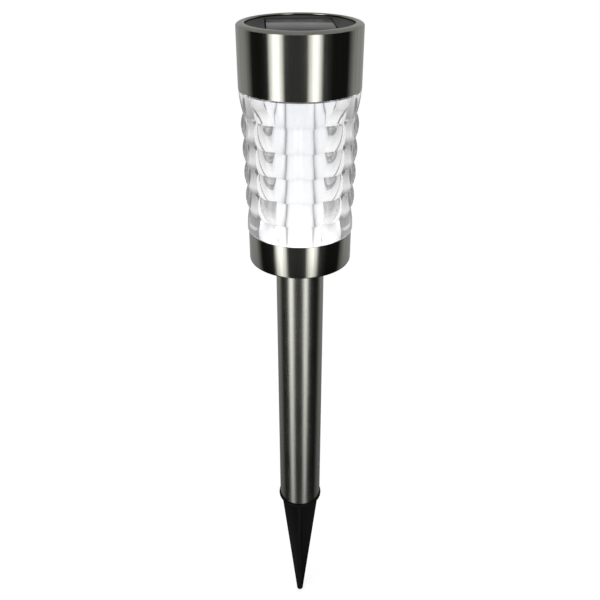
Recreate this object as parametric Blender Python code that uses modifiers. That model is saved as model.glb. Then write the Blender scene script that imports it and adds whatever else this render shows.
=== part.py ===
"""Solar garden light: a steel-capped solar head on a moulded clear lens, a steel pole and a ground spike.

Metres, +Z up. The origin is on the axis at ground level, which is the underside of the spike's flange.
"""

import math

import bmesh
import bpy
from mathutils import Matrix, Vector

# Gaps
SEAT_GAP = 0.0003  # between two pieces that touch or rest on each other
NECK_GAP = 0.0005  # round the lens's neck, where the head slides and turns

# Sheet steel
STEEL_WALL = 0.0005

# Ground spike
SPIKE_LENGTH = 0.0946
SPIKE_ROOT_INSET = 0.0008  # the fins' roots stand this far inside the pole's side
SPIKE_TIP_RADIUS = 0.0020
FIN_THICKNESS = 0.0028
FLANGE_THICKNESS = 0.0016
FLANGE_OVERHANG = 0.0007
SPIKE_SPIGOT_LENGTH = 0.022
SPIGOT_CHAMFER = 0.0015

# Pole
POLE_RADIUS = 0.0125
POLE_WALL = 0.0006
POLE_LENGTH = 0.1686

# Collar and the insert in it
COLLAR_RADIUS = 0.0260
COLLAR_HEIGHT = 0.0170
COLLAR_LIP = 0.0025
INSERT_PLATE = 0.0022
INSERT_RIM_HEIGHT = 0.0037
INSERT_RIM_WALL = 0.0018
INSERT_SPIGOT_LENGTH = 0.018
INSERT_SPIGOT_WALL = 0.0018
INSERT_HUB_RADIUS = 0.0045

# Lens
LENS_HEIGHT = 0.0687  # from the collar to the cap
LENS_TOP_INSET = 0.00015  # the lens's top edge stands this far inside the cap's side
LENS_FOOT_OVERHANG = 0.0005  # the lens's lower edge stands this far outside the collar
LENS_STUB_WALL = 0.0028
LENS_FLOOR = 0.0030
NECK_HEIGHT = 0.0080
NECK_WALL = 0.0020
NECK_CHAMFER = 0.0005
CELL_COLUMNS = 14
CELL_ROWS = 4
TOP_BAND = 0.0112
BOTTOM_BAND = 0.0099
GROOVE_DEPTH = 0.0013
STEPS_PER_CELL = 3
LENS_BOSS_RADIUS = 0.0040
LENS_BOSS_HEIGHT = 0.0050
LENS_BOSS_CLOSURE = 0.0010  # left solid above the boss's screw hole

# Inside the lens
DIFFUSER_RADIUS = 0.0165
DIFFUSER_WALL = 0.0012
REFLECTOR_THICKNESS = 0.0008
REFLECTOR_RIM = 0.0010
REFLECTOR_RIM_HEIGHT = 0.0020
DIFFUSER_HEADROOM = 0.0008  # from the top of the diffuser to the switch's knob

# Cap and housing
CAP_RADIUS = 0.0285
CAP_HEIGHT = 0.0284
RIM_ROUND = 0.0034
RIM_DROP = 0.0014  # the rim's rounding is flatter than it is wide
RIM_CURL = 0.0006
HOUSING_WALL = 0.0016
HOUSING_SHOULDER = 0.0024
HOUSING_TOP_THICKNESS = 0.0046
HOUSING_DROP = 0.0003  # the housing's lower edge shows below the steel by this much
DISC_SET_BACK = 0.0010  # the housing's top lies this far below the cap's top

# Solar panel
PANEL_MARGIN = 0.0024  # from each corner of the panel's pocket to the steel rim's edge
PANEL_THICKNESS = 0.0020
PANEL_POCKET_GAP = 0.0006
PANEL_SET_BACK = 0.0002
PANEL_TURN = math.radians(3.5)
GASKET_THICKNESS = 0.0007
GASKET_WIDTH = 0.0022
WIRE_SLOT = (0.0090, 0.0036)
WIRE_SLOT_Y = -0.0090

# Base cover, which closes the housing from below
BASE_GAP = 0.0006
BASE_WALL = 0.0015
BASE_FLOOR = 0.0016
BASE_CHAMFER = 0.0004
BASE_SET_BACK = 0.0020  # the cover's underside lies this far above the lens's shoulder
BASE_FLANGE = 0.0016
SEAL_THICKNESS = 0.0016
SEAL_CHAMFER = 0.0004
BOSS_RADIUS = 0.0028
BOSS_INSET = 0.0004  # from a boss to the base cover's inner wall
BOSS_ANGLES = (90.0, 210.0, 330.0)
BOSS_HOLE_DEPTH = 0.0120

# Self-tapping screws
SCREW_HOLE_RADIUS = 0.0015
SCREW_RADIUS = 0.0012
SCREW_HEAD_RADIUS = 0.0027
SCREW_HEAD_HEIGHT = 0.0017
SCREW_HEAD_SIDE = 0.0010  # the straight part of the head's height
SCREW_CROWN_RADIUS = 0.0020
SCREW_POINT = 0.0010
SCREW_TIP_RADIUS = 0.0004
COVER_SCREW_LENGTH = 0.0100
INSERT_SCREW_LENGTH = 0.0125

# Rechargeable cell and its contacts
CELL_RADIUS = 0.00525
CELL_LENGTH = 0.0283
CELL_EDGE = 0.0005
CELL_NUB_RADIUS = 0.0019
CELL_NUB_LENGTH = 0.0010
CELL_Y = 0.0080
CELL_LIFT = 0.00115  # from the base cover's floor to the cell
CONTACT_THICKNESS = 0.0004
CONTACT_WIDTH = 0.0070
CONTACT_HEIGHT = 0.0083
SPRING_SPACE = 0.0020
SPRING_WIRE_RADIUS = 0.00025
SPRING_TURNS = 2.5
SPRING_RADII = (0.0030, 0.0017)
SPRING_POINTS_PER_TURN = 10
CRADLE_WALL = 0.0010
CRADLE_GAP = 0.00045
CRADLE_HEIGHT = 0.0039
CRADLE_INNER_X = 0.0045
CRADLE_OUTER_X = 0.0105
STOP_WALL = 0.0010
STOP_HEIGHT = 0.0060
STOP_WIDTH = 0.0050

# Circuit board and what is on it
BOARD_WIDTH = 0.0150
BOARD_FRONT_Y = -0.0195
BOARD_BACK_Y = 0.0015
BOARD_THICKNESS = 0.0012
CHIP_SIZE = (0.0050, 0.0040, 0.0016)
CHIP_Y = -0.0110
INDUCTOR_RADIUS = 0.0016
INDUCTOR_LENGTH = 0.0060
INDUCTOR_Y = -0.0055
LED_RADIUS = 0.0025
LED_FLANGE_RADIUS = 0.0029
LED_FLANGE_THICKNESS = 0.0010
LED_LENGTH = 0.0086
LED_LEG_RADIUS = 0.00025
LED_LEG_SPACING = 0.00254

# Slide switch
SWITCH_SIZE = (0.0086, 0.0040, 0.0041)
SWITCH_WALL = 0.0006
SWITCH_CAVITY_DEPTH = 0.0026
SWITCH_Y = -0.0170
SWITCH_TRAVEL = 0.0024
CARRIAGE_SIZE = (0.0036, 0.0022, 0.0018)
KNOB_SIZE = (0.0020, 0.0016)
KNOB_BELOW_COVER = 0.0026

# Leads
LEAD_RADIUS = 0.0005

# Facets
ROUND_STEPS = 36
INNER_STEPS = 24
SCREW_STEPS = 12
LEAD_STEPS = 3  # to each stretch of a lead's route
ARC_STEPS = 4
MERGE = 0.00001

# Levels, from the ground up
FLANGE_TOP = FLANGE_THICKNESS
POLE_BOTTOM = FLANGE_TOP + SEAT_GAP
POLE_TOP = POLE_BOTTOM + POLE_LENGTH
INSERT_BOTTOM = POLE_TOP + SEAT_GAP
COLLAR_BOTTOM = INSERT_BOTTOM - SEAT_GAP - STEEL_WALL
COLLAR_TOP = COLLAR_BOTTOM + COLLAR_HEIGHT
LENS_BOTTOM = COLLAR_TOP + SEAT_GAP
LENS_TOP = LENS_BOTTOM + LENS_HEIGHT
INSERT_TOP = INSERT_BOTTOM + INSERT_PLATE + INSERT_RIM_HEIGHT
LENS_UNDERSIDE = INSERT_TOP + SEAT_GAP
LENS_FLOOR_TOP = LENS_UNDERSIDE + LENS_FLOOR
NECK_TOP = LENS_TOP + NECK_HEIGHT
REFLECTOR_BOTTOM = LENS_FLOOR_TOP + SEAT_GAP
DIFFUSER_BOTTOM = REFLECTOR_BOTTOM + REFLECTOR_THICKNESS + SEAT_GAP
BASE_BOTTOM = LENS_TOP + BASE_SET_BACK
BASE_FLOOR_TOP = BASE_BOTTOM + BASE_FLOOR
DIFFUSER_TOP = BASE_BOTTOM - KNOB_BELOW_COVER - DIFFUSER_HEADROOM
SEAL_BOTTOM = NECK_TOP + SEAT_GAP
BASE_FLANGE_BOTTOM = SEAL_BOTTOM + SEAL_THICKNESS + SEAT_GAP
BASE_FLANGE_TOP = BASE_FLANGE_BOTTOM + BASE_FLANGE
HOUSING_BOTTOM = LENS_TOP + SEAT_GAP
CAP_BOTTOM = HOUSING_BOTTOM + HOUSING_DROP
CAP_TOP = CAP_BOTTOM + CAP_HEIGHT
HOUSING_TOP = CAP_TOP - DISC_SET_BACK
HOUSING_TOP_UNDERSIDE = HOUSING_TOP - HOUSING_TOP_THICKNESS
PANEL_TOP = HOUSING_TOP - PANEL_SET_BACK
PANEL_BOTTOM = PANEL_TOP - PANEL_THICKNESS
GASKET_BOTTOM = PANEL_BOTTOM - SEAT_GAP - GASKET_THICKNESS
POCKET_FLOOR = GASKET_BOTTOM - SEAT_GAP

CELL_HEIGHT = (LENS_HEIGHT - TOP_BAND - BOTTOM_BAND) / CELL_ROWS

# Radii, from the cap inwards
SLEEVE_INNER_RADIUS = CAP_RADIUS - STEEL_WALL
HOUSING_RADIUS = SLEEVE_INNER_RADIUS - SEAT_GAP
HOUSING_INNER_RADIUS = HOUSING_RADIUS - HOUSING_WALL
NECK_RADIUS = HOUSING_INNER_RADIUS - NECK_GAP
NECK_INNER_RADIUS = NECK_RADIUS - NECK_WALL
BASE_RADIUS = NECK_INNER_RADIUS - BASE_GAP
BASE_INNER_RADIUS = BASE_RADIUS - BASE_WALL
BASE_FLANGE_RADIUS = HOUSING_INNER_RADIUS - SEAT_GAP
RIM_EDGE_RADIUS = CAP_RADIUS - RIM_ROUND - RIM_CURL
BOSS_CIRCLE = BASE_INNER_RADIUS - BOSS_RADIUS - BOSS_INSET
LENS_TOP_RADIUS = CAP_RADIUS - LENS_TOP_INSET
LENS_FOOT_RADIUS = COLLAR_RADIUS + LENS_FOOT_OVERHANG
COLLAR_INNER_RADIUS = COLLAR_RADIUS - STEEL_WALL
STUB_RADIUS = COLLAR_INNER_RADIUS - SEAT_GAP
LENS_FLOOR_RADIUS = STUB_RADIUS - LENS_STUB_WALL
POLE_INNER_RADIUS = POLE_RADIUS - POLE_WALL
SPIGOT_RADIUS = POLE_INNER_RADIUS - SEAT_GAP
SPIKE_ROOT_RADIUS = POLE_RADIUS - SPIKE_ROOT_INSET
POCKET_SIDE = math.sqrt(2.0) * (RIM_EDGE_RADIUS - PANEL_MARGIN)
PANEL_SIDE = POCKET_SIDE - 2.0 * PANEL_POCKET_GAP

# Heights inside the head
CELL_AXIS_Z = BASE_FLOOR_TOP + CELL_LIFT + CELL_RADIUS
SWITCH_BOTTOM = BASE_FLOOR_TOP + SEAT_GAP
SWITCH_TOP = SWITCH_BOTTOM + SWITCH_SIZE[2]
BOARD_BOTTOM = SWITCH_TOP + SEAT_GAP
BOARD_TOP = BOARD_BOTTOM + BOARD_THICKNESS
LED_FLANGE_BOTTOM = BASE_FLOOR_TOP + SEAT_GAP
LED_HOLE_RADIUS = LED_RADIUS + SEAT_GAP


def clear_scene():
    """Removes every object that the scene holds."""
    for obj in list(bpy.data.objects):
        bpy.data.objects.remove(obj, do_unlink=True)


def collection(name):
    """A new collection in the scene."""
    made = bpy.data.collections.new(name)
    bpy.context.scene.collection.children.link(made)
    return made


def material(name, color, roughness, metallic=0.0, transmission=0.0):
    """A plain Principled material."""
    made = bpy.data.materials.new(name)
    made.use_nodes = True
    shader = made.node_tree.nodes["Principled BSDF"]
    shader.inputs["Base Color"].default_value = (*color, 1.0)
    shader.inputs["Roughness"].default_value = roughness
    shader.inputs["Metallic"].default_value = metallic
    shader.inputs["Transmission Weight"].default_value = transmission
    made.diffuse_color = (*color, 1.0)
    return made


clear_scene()
PARTS = collection("solar_garden_light")
CUTTERS = collection("cutters")
STEEL = material("brushed_steel", (0.42, 0.42, 0.38), 0.28, metallic=1.0)
BLACK = material("black_plastic", (0.020, 0.020, 0.020), 0.45)
CLEAR = material("clear_lens", (0.95, 0.97, 0.97), 0.03, transmission=1.0)
FROSTED = material("frosted_diffuser", (0.92, 0.93, 0.95), 0.55)
WHITE = material("white_reflector", (0.85, 0.85, 0.86), 0.25)
PANEL = material("solar_cell", (0.035, 0.040, 0.055), 0.20)
RUBBER = material("seal_rubber", (0.030, 0.030, 0.030), 0.80)
FOAM = material("foam_gasket", (0.060, 0.060, 0.065), 0.95)
BOARD = material("circuit_board", (0.030, 0.140, 0.060), 0.45)
CHIP = material("chip_resin", (0.025, 0.025, 0.028), 0.50)
COIL = material("inductor_lacquer", (0.100, 0.280, 0.140), 0.35)
LED_RESIN = material("led_resin", (0.95, 0.97, 1.00), 0.05, transmission=1.0)
NICKEL = material("nickel_plate", (0.60, 0.60, 0.58), 0.25, metallic=1.0)
ZINC = material("zinc_screw", (0.50, 0.50, 0.49), 0.35, metallic=1.0)
CELL_WRAP = material("cell_wrap", (0.050, 0.250, 0.110), 0.35)
RED = material("red_lead", (0.450, 0.020, 0.020), 0.45)


def joint_empty(name, z, parent=None, x=0.0, y=0.0):
    """An empty on a joint's axis, which carries the pieces that move with it."""
    empty = bpy.data.objects.new(name, None)
    empty.empty_display_size = 0.01
    PARTS.objects.link(empty)
    empty["world"] = (x, y, z)
    put(empty, parent, x, y, z)
    return empty


def put(obj, parent, x, y, z):
    """Parents an object and sets its location from a place in the world."""
    obj.parent = parent
    base = Vector(parent["world"]) if parent else Vector((0.0, 0.0, 0.0))
    obj.location = Vector((x, y, z)) - base


POLE_JOINT = joint_empty("pole_joint", POLE_BOTTOM)
LAMP_JOINT = joint_empty("lamp_joint", POLE_TOP, POLE_JOINT)
SEAL_JOINT = joint_empty("head_lift_joint", LENS_TOP, LAMP_JOINT)
HEAD_JOINT = joint_empty("head_turn_joint", LENS_TOP, SEAL_JOINT)
SWITCH_X = 0.5 * SWITCH_TRAVEL
SWITCH_JOINT = joint_empty("switch_joint", BASE_BOTTOM, HEAD_JOINT, SWITCH_X, SWITCH_Y)


def new_object(name, mesh, finish):
    """An object for this mesh, linked to the parts, or to the cutters when it has no finish."""
    obj = bpy.data.objects.new(name, mesh)
    if finish is None:
        CUTTERS.objects.link(obj)
        obj.hide_render = True
        obj.display_type = "WIRE"
    else:
        PARTS.objects.link(obj)
        mesh.materials.append(finish)
    return obj


def mesh_from(bm, name):
    """A smooth-shaded mesh with sharp edges kept, from a bmesh, which is freed."""
    bmesh.ops.recalc_face_normals(bm, faces=bm.faces)
    mesh = bpy.data.meshes.new(name)
    bm.to_mesh(mesh)
    bm.free()
    mesh.shade_smooth()
    mesh.set_sharp_from_angle(angle=math.radians(40.0))
    return mesh


def turned(name, outline, finish, steps=ROUND_STEPS, closed=True, base=0.0):
    """A turned piece: the outline's (radius, height) points run down the outer side, round the Z axis."""
    bm = bmesh.new()
    verts = [bm.verts.new((radius, 0.0, height - base)) for radius, height in outline]
    pairs = list(zip(verts, verts[1:]))
    if closed:
        pairs.append((verts[-1], verts[0]))
    for pair in pairs:
        bm.edges.new(pair)
    mesh = bpy.data.meshes.new(name)
    bm.to_mesh(mesh)
    bm.free()
    obj = new_object(name, mesh, finish)
    screw = obj.modifiers.new("turn", "SCREW")
    screw.axis = "Z"
    screw.steps = steps
    screw.render_steps = steps
    screw.use_merge_vertices = True
    screw.merge_threshold = MERGE
    screw.use_smooth_shade = True
    return obj


def arc(center, radius, start, end, steps=ARC_STEPS, rise=None):
    """Points on an arc in the (radius, height) plane, from start to end in degrees. A rise gives the arc its own height."""
    height = radius if rise is None else rise
    points = []
    for i in range(steps + 1):
        angle = math.radians(start + (end - start) * i / steps)
        points.append((center[0] + radius * math.cos(angle), center[1] + height * math.sin(angle)))
    return points


def box(name, size, finish, bevel=0.0):
    """A box with its centre at its origin, its edges rounded by the bevel."""
    bm = bmesh.new()
    bmesh.ops.create_cube(bm, size=1.0)
    bmesh.ops.scale(bm, vec=size, verts=bm.verts)
    obj = new_object(name, mesh_from(bm, name), finish)
    if bevel:
        rounding = obj.modifiers.new("edge", "BEVEL")
        rounding.width = bevel
        rounding.segments = 1
    return obj


def cylinder(name, radius, depth, finish, steps=SCREW_STEPS):
    """A cylinder along Z with its centre at its origin."""
    bm = bmesh.new()
    bmesh.ops.create_cone(bm, cap_ends=True, segments=steps, radius1=radius, radius2=radius, depth=depth)
    return new_object(name, mesh_from(bm, name), finish)


def combine(obj, other, operation):
    """Cuts the other object from this one, or joins it to this one."""
    step = obj.modifiers.new(other.name, "BOOLEAN")
    step.operation = operation
    step.solver = "EXACT"
    step.object = other


def box_between(name, low, high):
    """A box between two corners in the world, as a cutter."""
    size = [b - a for a, b in zip(low, high)]
    obj = box(name, size, None)
    obj.location = [(a + b) / 2.0 for a, b in zip(low, high)]
    return obj


def tube(name, route, radius, finish, parent, steps=LEAD_STEPS):
    """A round wire along a smooth curve through the route's points, in the world."""
    points = [Vector(point) for point in route]
    curve = bpy.data.curves.new(name, "CURVE")
    curve.dimensions = "3D"
    curve.bevel_depth = radius
    curve.bevel_resolution = 2
    curve.use_fill_caps = True
    fine = smooth_route(points, steps)
    spline = curve.splines.new("POLY")
    spline.points.add(len(fine) - 1)
    for knot, point in zip(spline.points, fine):
        knot.co = (*point, 1.0)
    curve.materials.append(finish)
    obj = bpy.data.objects.new(name, curve)
    PARTS.objects.link(obj)
    put(obj, parent, 0.0, 0.0, 0.0)
    return obj


def smooth_route(points, steps):
    """Points on a Catmull-Rom curve through these points, this many to each stretch."""
    padded = [2.0 * points[0] - points[1], *points, 2.0 * points[-1] - points[-2]]
    fine = []
    for a, b, c, d in zip(padded, padded[1:], padded[2:], padded[3:]):
        for i in range(steps):
            t = i / steps
            bend = 2.0 * a - 5.0 * b + 4.0 * c - d
            twist = 3.0 * b - 3.0 * c + d - a
            fine.append(b + 0.5 * t * (c - a + t * (bend + t * twist)))
    fine.append(points[-1])
    return fine


def solid_mesh(obj, name):
    """The evaluated mesh of an object with its doubles merged, after which the object is removed."""
    bpy.context.view_layer.update()
    graph = bpy.context.evaluated_depsgraph_get()
    mesh = bpy.data.meshes.new_from_object(obj.evaluated_get(graph))
    mesh.name = name
    bm = bmesh.new()
    bm.from_mesh(mesh)
    bmesh.ops.remove_doubles(bm, verts=bm.verts, dist=MERGE)
    bmesh.ops.recalc_face_normals(bm, faces=bm.faces)
    bm.to_mesh(mesh)
    bm.free()
    bpy.data.objects.remove(obj)
    return mesh


def spike_outline():
    """One fin plate of the spike, seen flat: spigot, root, taper and rounded tip, as (x, z) points."""
    right = [
        (SPIGOT_RADIUS - SPIGOT_CHAMFER, FLANGE_TOP + SPIKE_SPIGOT_LENGTH),
        (SPIGOT_RADIUS, FLANGE_TOP + SPIKE_SPIGOT_LENGTH - SPIGOT_CHAMFER),
        (SPIGOT_RADIUS, 0.5 * FLANGE_THICKNESS),
        (SPIKE_ROOT_RADIUS, 0.5 * FLANGE_THICKNESS),
        (SPIKE_ROOT_RADIUS, 0.0),
    ]
    right += arc((0.0, SPIKE_TIP_RADIUS - SPIKE_LENGTH), SPIKE_TIP_RADIUS, 0.0, -75.0)
    tip = (0.0, -SPIKE_LENGTH)
    left = [(-x, z) for x, z in reversed(right)]
    return [*right, tip, *left]


def fin_plate(name, angle):
    """A fin plate as a closed mesh, turned about the axis."""
    curve = bpy.data.curves.new(name, "CURVE")
    curve.dimensions = "2D"
    curve.fill_mode = "BOTH"
    curve.extrude = 0.5 * FIN_THICKNESS
    outline = spike_outline()
    spline = curve.splines.new("POLY")
    spline.points.add(len(outline) - 1)
    for knot, (x, z) in zip(spline.points, outline):
        knot.co = (x, z, 0.0, 1.0)
    spline.use_cyclic_u = True
    flat = bpy.data.objects.new(name, curve)
    PARTS.objects.link(flat)
    mesh = solid_mesh(flat, name)
    bm = bmesh.new()
    bm.from_mesh(mesh)
    bmesh.ops.rotate(bm, verts=bm.verts, matrix=Matrix.Rotation(math.radians(90.0), 3, "X"))
    bmesh.ops.rotate(bm, verts=bm.verts, matrix=Matrix.Rotation(math.radians(angle), 3, "Z"))
    bm.to_mesh(mesh)
    bm.free()
    return mesh


def build_spike():
    """The ground spike: two crossed fin plates through a round flange."""
    spike = new_object("ground_spike", fin_plate("ground_spike", 0.0), BLACK)
    cross = new_object("cross_plate", fin_plate("cross_plate", 90.0), None)
    flange = cylinder("flange_disc", POLE_RADIUS + FLANGE_OVERHANG, FLANGE_THICKNESS, None, ROUND_STEPS)
    flange.location.z = 0.5 * FLANGE_THICKNESS
    combine(spike, cross, "UNION")
    combine(spike, flange, "UNION")


def build_pole():
    """The steel tube between the spike and the collar."""
    outline = [
        (POLE_RADIUS, POLE_TOP),
        (POLE_RADIUS, POLE_BOTTOM),
        (POLE_INNER_RADIUS, POLE_BOTTOM),
        (POLE_INNER_RADIUS, POLE_TOP),
    ]
    pole = turned("pole_tube", outline, STEEL, base=POLE_BOTTOM)
    put(pole, POLE_JOINT, 0.0, 0.0, POLE_BOTTOM)


def build_collar():
    """The steel ring under the lens, its lower edge turned in over the insert."""
    outline = [
        (COLLAR_RADIUS, COLLAR_TOP),
        (COLLAR_RADIUS, COLLAR_BOTTOM),
        (COLLAR_RADIUS - COLLAR_LIP, COLLAR_BOTTOM),
        (COLLAR_RADIUS - COLLAR_LIP, COLLAR_BOTTOM + STEEL_WALL),
        (COLLAR_INNER_RADIUS, COLLAR_BOTTOM + STEEL_WALL),
        (COLLAR_INNER_RADIUS, COLLAR_TOP),
    ]
    collar = turned("collar_sleeve", outline, STEEL, base=COLLAR_BOTTOM)
    put(collar, LAMP_JOINT, 0.0, 0.0, COLLAR_BOTTOM)


def build_insert():
    """The plastic socket in the collar: a plate with a rim and a hub above and a hollow spigot below."""
    plate_top = INSERT_BOTTOM + INSERT_PLATE
    spigot_end = INSERT_BOTTOM - INSERT_SPIGOT_LENGTH
    bore = SPIGOT_RADIUS - INSERT_SPIGOT_WALL
    outline = [
        (STUB_RADIUS, INSERT_TOP),
        (STUB_RADIUS, INSERT_BOTTOM),
        (SPIGOT_RADIUS, INSERT_BOTTOM),
        (SPIGOT_RADIUS, spigot_end + 0.5 * SPIGOT_CHAMFER),
        (SPIGOT_RADIUS - 0.5 * SPIGOT_CHAMFER, spigot_end),
        (bore, spigot_end),
        (bore, INSERT_BOTTOM),
        (SCREW_HOLE_RADIUS, INSERT_BOTTOM),
        (SCREW_HOLE_RADIUS, INSERT_TOP),
        (INSERT_HUB_RADIUS, INSERT_TOP),
        (INSERT_HUB_RADIUS, plate_top),
        (STUB_RADIUS - INSERT_RIM_WALL, plate_top),
        (STUB_RADIUS - INSERT_RIM_WALL, INSERT_TOP),
    ]
    insert = turned("collar_insert", outline, BLACK, INNER_STEPS, base=INSERT_BOTTOM)
    put(insert, LAMP_JOINT, 0.0, 0.0, INSERT_BOTTOM)


def screw_outline(length):
    """A pan-head screw that points up, with the underside of its head at height 0."""
    return [
        (0.0, length),
        (SCREW_TIP_RADIUS, length),
        (SCREW_RADIUS, length - SCREW_POINT),
        (SCREW_RADIUS, 0.0),
        (SCREW_HEAD_RADIUS, 0.0),
        (SCREW_HEAD_RADIUS, -SCREW_HEAD_SIDE),
        (SCREW_CROWN_RADIUS, -SCREW_HEAD_HEIGHT),
        (0.0, -SCREW_HEAD_HEIGHT),
    ]


def build_insert_screw():
    """The screw that holds the insert to the lens's floor."""
    seat = INSERT_BOTTOM - SEAT_GAP
    screw = turned("insert_screw", screw_outline(INSERT_SCREW_LENGTH), ZINC, SCREW_STEPS, closed=False)
    put(screw, LAMP_JOINT, 0.0, 0.0, seat)


def band_share(z):
    """How far a level of the lens is towards a groove, from 0 at a cell's middle to 1 in a groove."""
    below_top = LENS_TOP - z
    if below_top <= TOP_BAND:
        return below_top / TOP_BAND
    below_band = below_top - TOP_BAND
    if below_band < CELL_ROWS * CELL_HEIGHT:
        return abs(2.0 * (below_band / CELL_HEIGHT % 1.0) - 1.0)
    return (z - LENS_BOTTOM) / BOTTOM_BAND


def groove_reach(z):
    """How deep the upright grooves are at a level: full between the bands, fading to the lens's ends."""
    return min(1.0, (LENS_TOP - z) / TOP_BAND, (z - LENS_BOTTOM) / BOTTOM_BAND)


def lens_side(z):
    """The lens's outer radius at a level, over the middle of a column of cells."""
    share = (z - LENS_BOTTOM) / LENS_HEIGHT
    envelope = LENS_FOOT_RADIUS + (LENS_TOP_RADIUS - LENS_FOOT_RADIUS) * share
    return envelope - GROOVE_DEPTH * band_share(z) ** 2


def lens_levels():
    """The levels of the lens's patterned side, from the top down."""
    bands = [TOP_BAND] + [CELL_HEIGHT] * CELL_ROWS + [BOTTOM_BAND]
    levels = [LENS_TOP]
    for height in bands:
        start = levels[-1]
        levels += [start - height * i / STEPS_PER_CELL for i in range(1, STEPS_PER_CELL + 1)]
    return levels


def lens_outline():
    """The turned form of the lens, over the middle of a column of cells."""
    boss_top = LENS_FLOOR_TOP + LENS_BOSS_HEIGHT
    hole_top = boss_top - LENS_BOSS_CLOSURE
    side = [(lens_side(z), z) for z in lens_levels()]
    return [
        (NECK_INNER_RADIUS, NECK_TOP),
        (NECK_RADIUS - NECK_CHAMFER, NECK_TOP),
        (NECK_RADIUS, NECK_TOP - NECK_CHAMFER),
        (NECK_RADIUS, LENS_TOP),
        *side,
        (STUB_RADIUS, LENS_BOTTOM),
        (STUB_RADIUS, LENS_UNDERSIDE),
        (SCREW_HOLE_RADIUS, LENS_UNDERSIDE),
        (SCREW_HOLE_RADIUS, hole_top),
        (0.0, hole_top),
        (0.0, boss_top),
        (LENS_BOSS_RADIUS, boss_top),
        (LENS_BOSS_RADIUS, LENS_FLOOR_TOP),
        (LENS_FLOOR_RADIUS, LENS_FLOOR_TOP),
        (NECK_INNER_RADIUS, LENS_TOP),
    ]


def build_lens():
    """The clear lens: a turned cup whose patterned side is drawn in along the columns' edges."""
    steps = CELL_COLUMNS * STEPS_PER_CELL
    form = turned("lens_form", lens_outline(), CLEAR, steps, base=LENS_BOTTOM)
    mesh = solid_mesh(form, "lens")
    patterned = LENS_FOOT_RADIUS - 2.0 * GROOVE_DEPTH
    for vert in mesh.vertices:
        radius = math.hypot(vert.co.x, vert.co.y)
        z = vert.co.z + LENS_BOTTOM
        if radius < patterned or not LENS_BOTTOM - MERGE < z < LENS_TOP + MERGE:
            continue
        turn = math.atan2(vert.co.y, vert.co.x) / (2.0 * math.pi) * CELL_COLUMNS
        edge_share = abs(2.0 * (turn % 1.0) - 1.0)
        depth = GROOVE_DEPTH * edge_share**2 * groove_reach(z)
        vert.co.x *= (radius - depth) / radius
        vert.co.y *= (radius - depth) / radius
    lens = new_object("lens", mesh, CLEAR)
    put(lens, LAMP_JOINT, 0.0, 0.0, LENS_BOTTOM)
    lens.rotation_euler.z = math.pi / CELL_COLUMNS  # an upright groove faces the front


def build_reflector():
    """The reflector on the lens's floor, with a rim that keeps the diffuser in place."""
    top = REFLECTOR_BOTTOM + REFLECTOR_THICKNESS
    rim = DIFFUSER_RADIUS + SEAT_GAP
    outline = [
        (LENS_FLOOR_RADIUS - SEAT_GAP, top),
        (LENS_FLOOR_RADIUS - SEAT_GAP, REFLECTOR_BOTTOM),
        (LENS_BOSS_RADIUS + SEAT_GAP, REFLECTOR_BOTTOM),
        (LENS_BOSS_RADIUS + SEAT_GAP, top),
        (rim, top),
        (rim, top + REFLECTOR_RIM_HEIGHT),
        (rim + REFLECTOR_RIM, top + REFLECTOR_RIM_HEIGHT),
        (rim + REFLECTOR_RIM, top),
    ]
    reflector = turned("reflector_disc", outline, WHITE, INNER_STEPS, base=REFLECTOR_BOTTOM)
    put(reflector, LAMP_JOINT, 0.0, 0.0, REFLECTOR_BOTTOM)


def build_diffuser():
    """The frosted tube that stands on the reflector and takes the LED's light."""
    outline = [
        (DIFFUSER_RADIUS, DIFFUSER_TOP),
        (DIFFUSER_RADIUS, DIFFUSER_BOTTOM),
        (DIFFUSER_RADIUS - DIFFUSER_WALL, DIFFUSER_BOTTOM),
        (DIFFUSER_RADIUS - DIFFUSER_WALL, DIFFUSER_TOP),
    ]
    diffuser = turned("diffuser_tube", outline, FROSTED, INNER_STEPS, base=DIFFUSER_BOTTOM)
    put(diffuser, LAMP_JOINT, 0.0, 0.0, DIFFUSER_BOTTOM)


def build_seal():
    """The rubber ring on top of the lens's neck."""
    corner = SEAL_CHAMFER
    inner = NECK_INNER_RADIUS
    top = SEAL_BOTTOM + SEAL_THICKNESS
    outline = [
        (NECK_RADIUS - corner, top),
        (NECK_RADIUS, top - corner),
        (NECK_RADIUS, SEAL_BOTTOM + corner),
        (NECK_RADIUS - corner, SEAL_BOTTOM),
        (inner + corner, SEAL_BOTTOM),
        (inner, SEAL_BOTTOM + corner),
        (inner, top - corner),
        (inner + corner, top),
    ]
    seal = turned("neck_seal", outline, RUBBER, INNER_STEPS, base=LENS_TOP)
    put(seal, SEAL_JOINT, 0.0, 0.0, LENS_TOP)


def build_cap():
    """The steel sleeve of the head, rolled in at the top to a rounded rim."""
    corner = (CAP_RADIUS - RIM_ROUND, CAP_TOP - RIM_DROP)
    curl = (RIM_EDGE_RADIUS + RIM_CURL, CAP_TOP - RIM_CURL)
    under = arc(corner, RIM_ROUND - STEEL_WALL, 90.0, 0.0, rise=RIM_DROP - STEEL_WALL)
    outline = [
        *arc(curl, RIM_CURL, 180.0, 90.0, 2),
        *arc(corner, RIM_ROUND, 90.0, 0.0, rise=RIM_DROP)[1:],
        (CAP_RADIUS, CAP_BOTTOM),
        (SLEEVE_INNER_RADIUS, CAP_BOTTOM),
        *reversed(under),
    ]
    cap = turned("cap_sleeve", outline, STEEL, base=LENS_TOP)
    put(cap, HEAD_JOINT, 0.0, 0.0, LENS_TOP)


def boss_places():
    """The (x, y) places of the screw bosses."""
    for angle in BOSS_ANGLES:
        turn = math.radians(angle)
        yield BOSS_CIRCLE * math.cos(turn), BOSS_CIRCLE * math.sin(turn)


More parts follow.
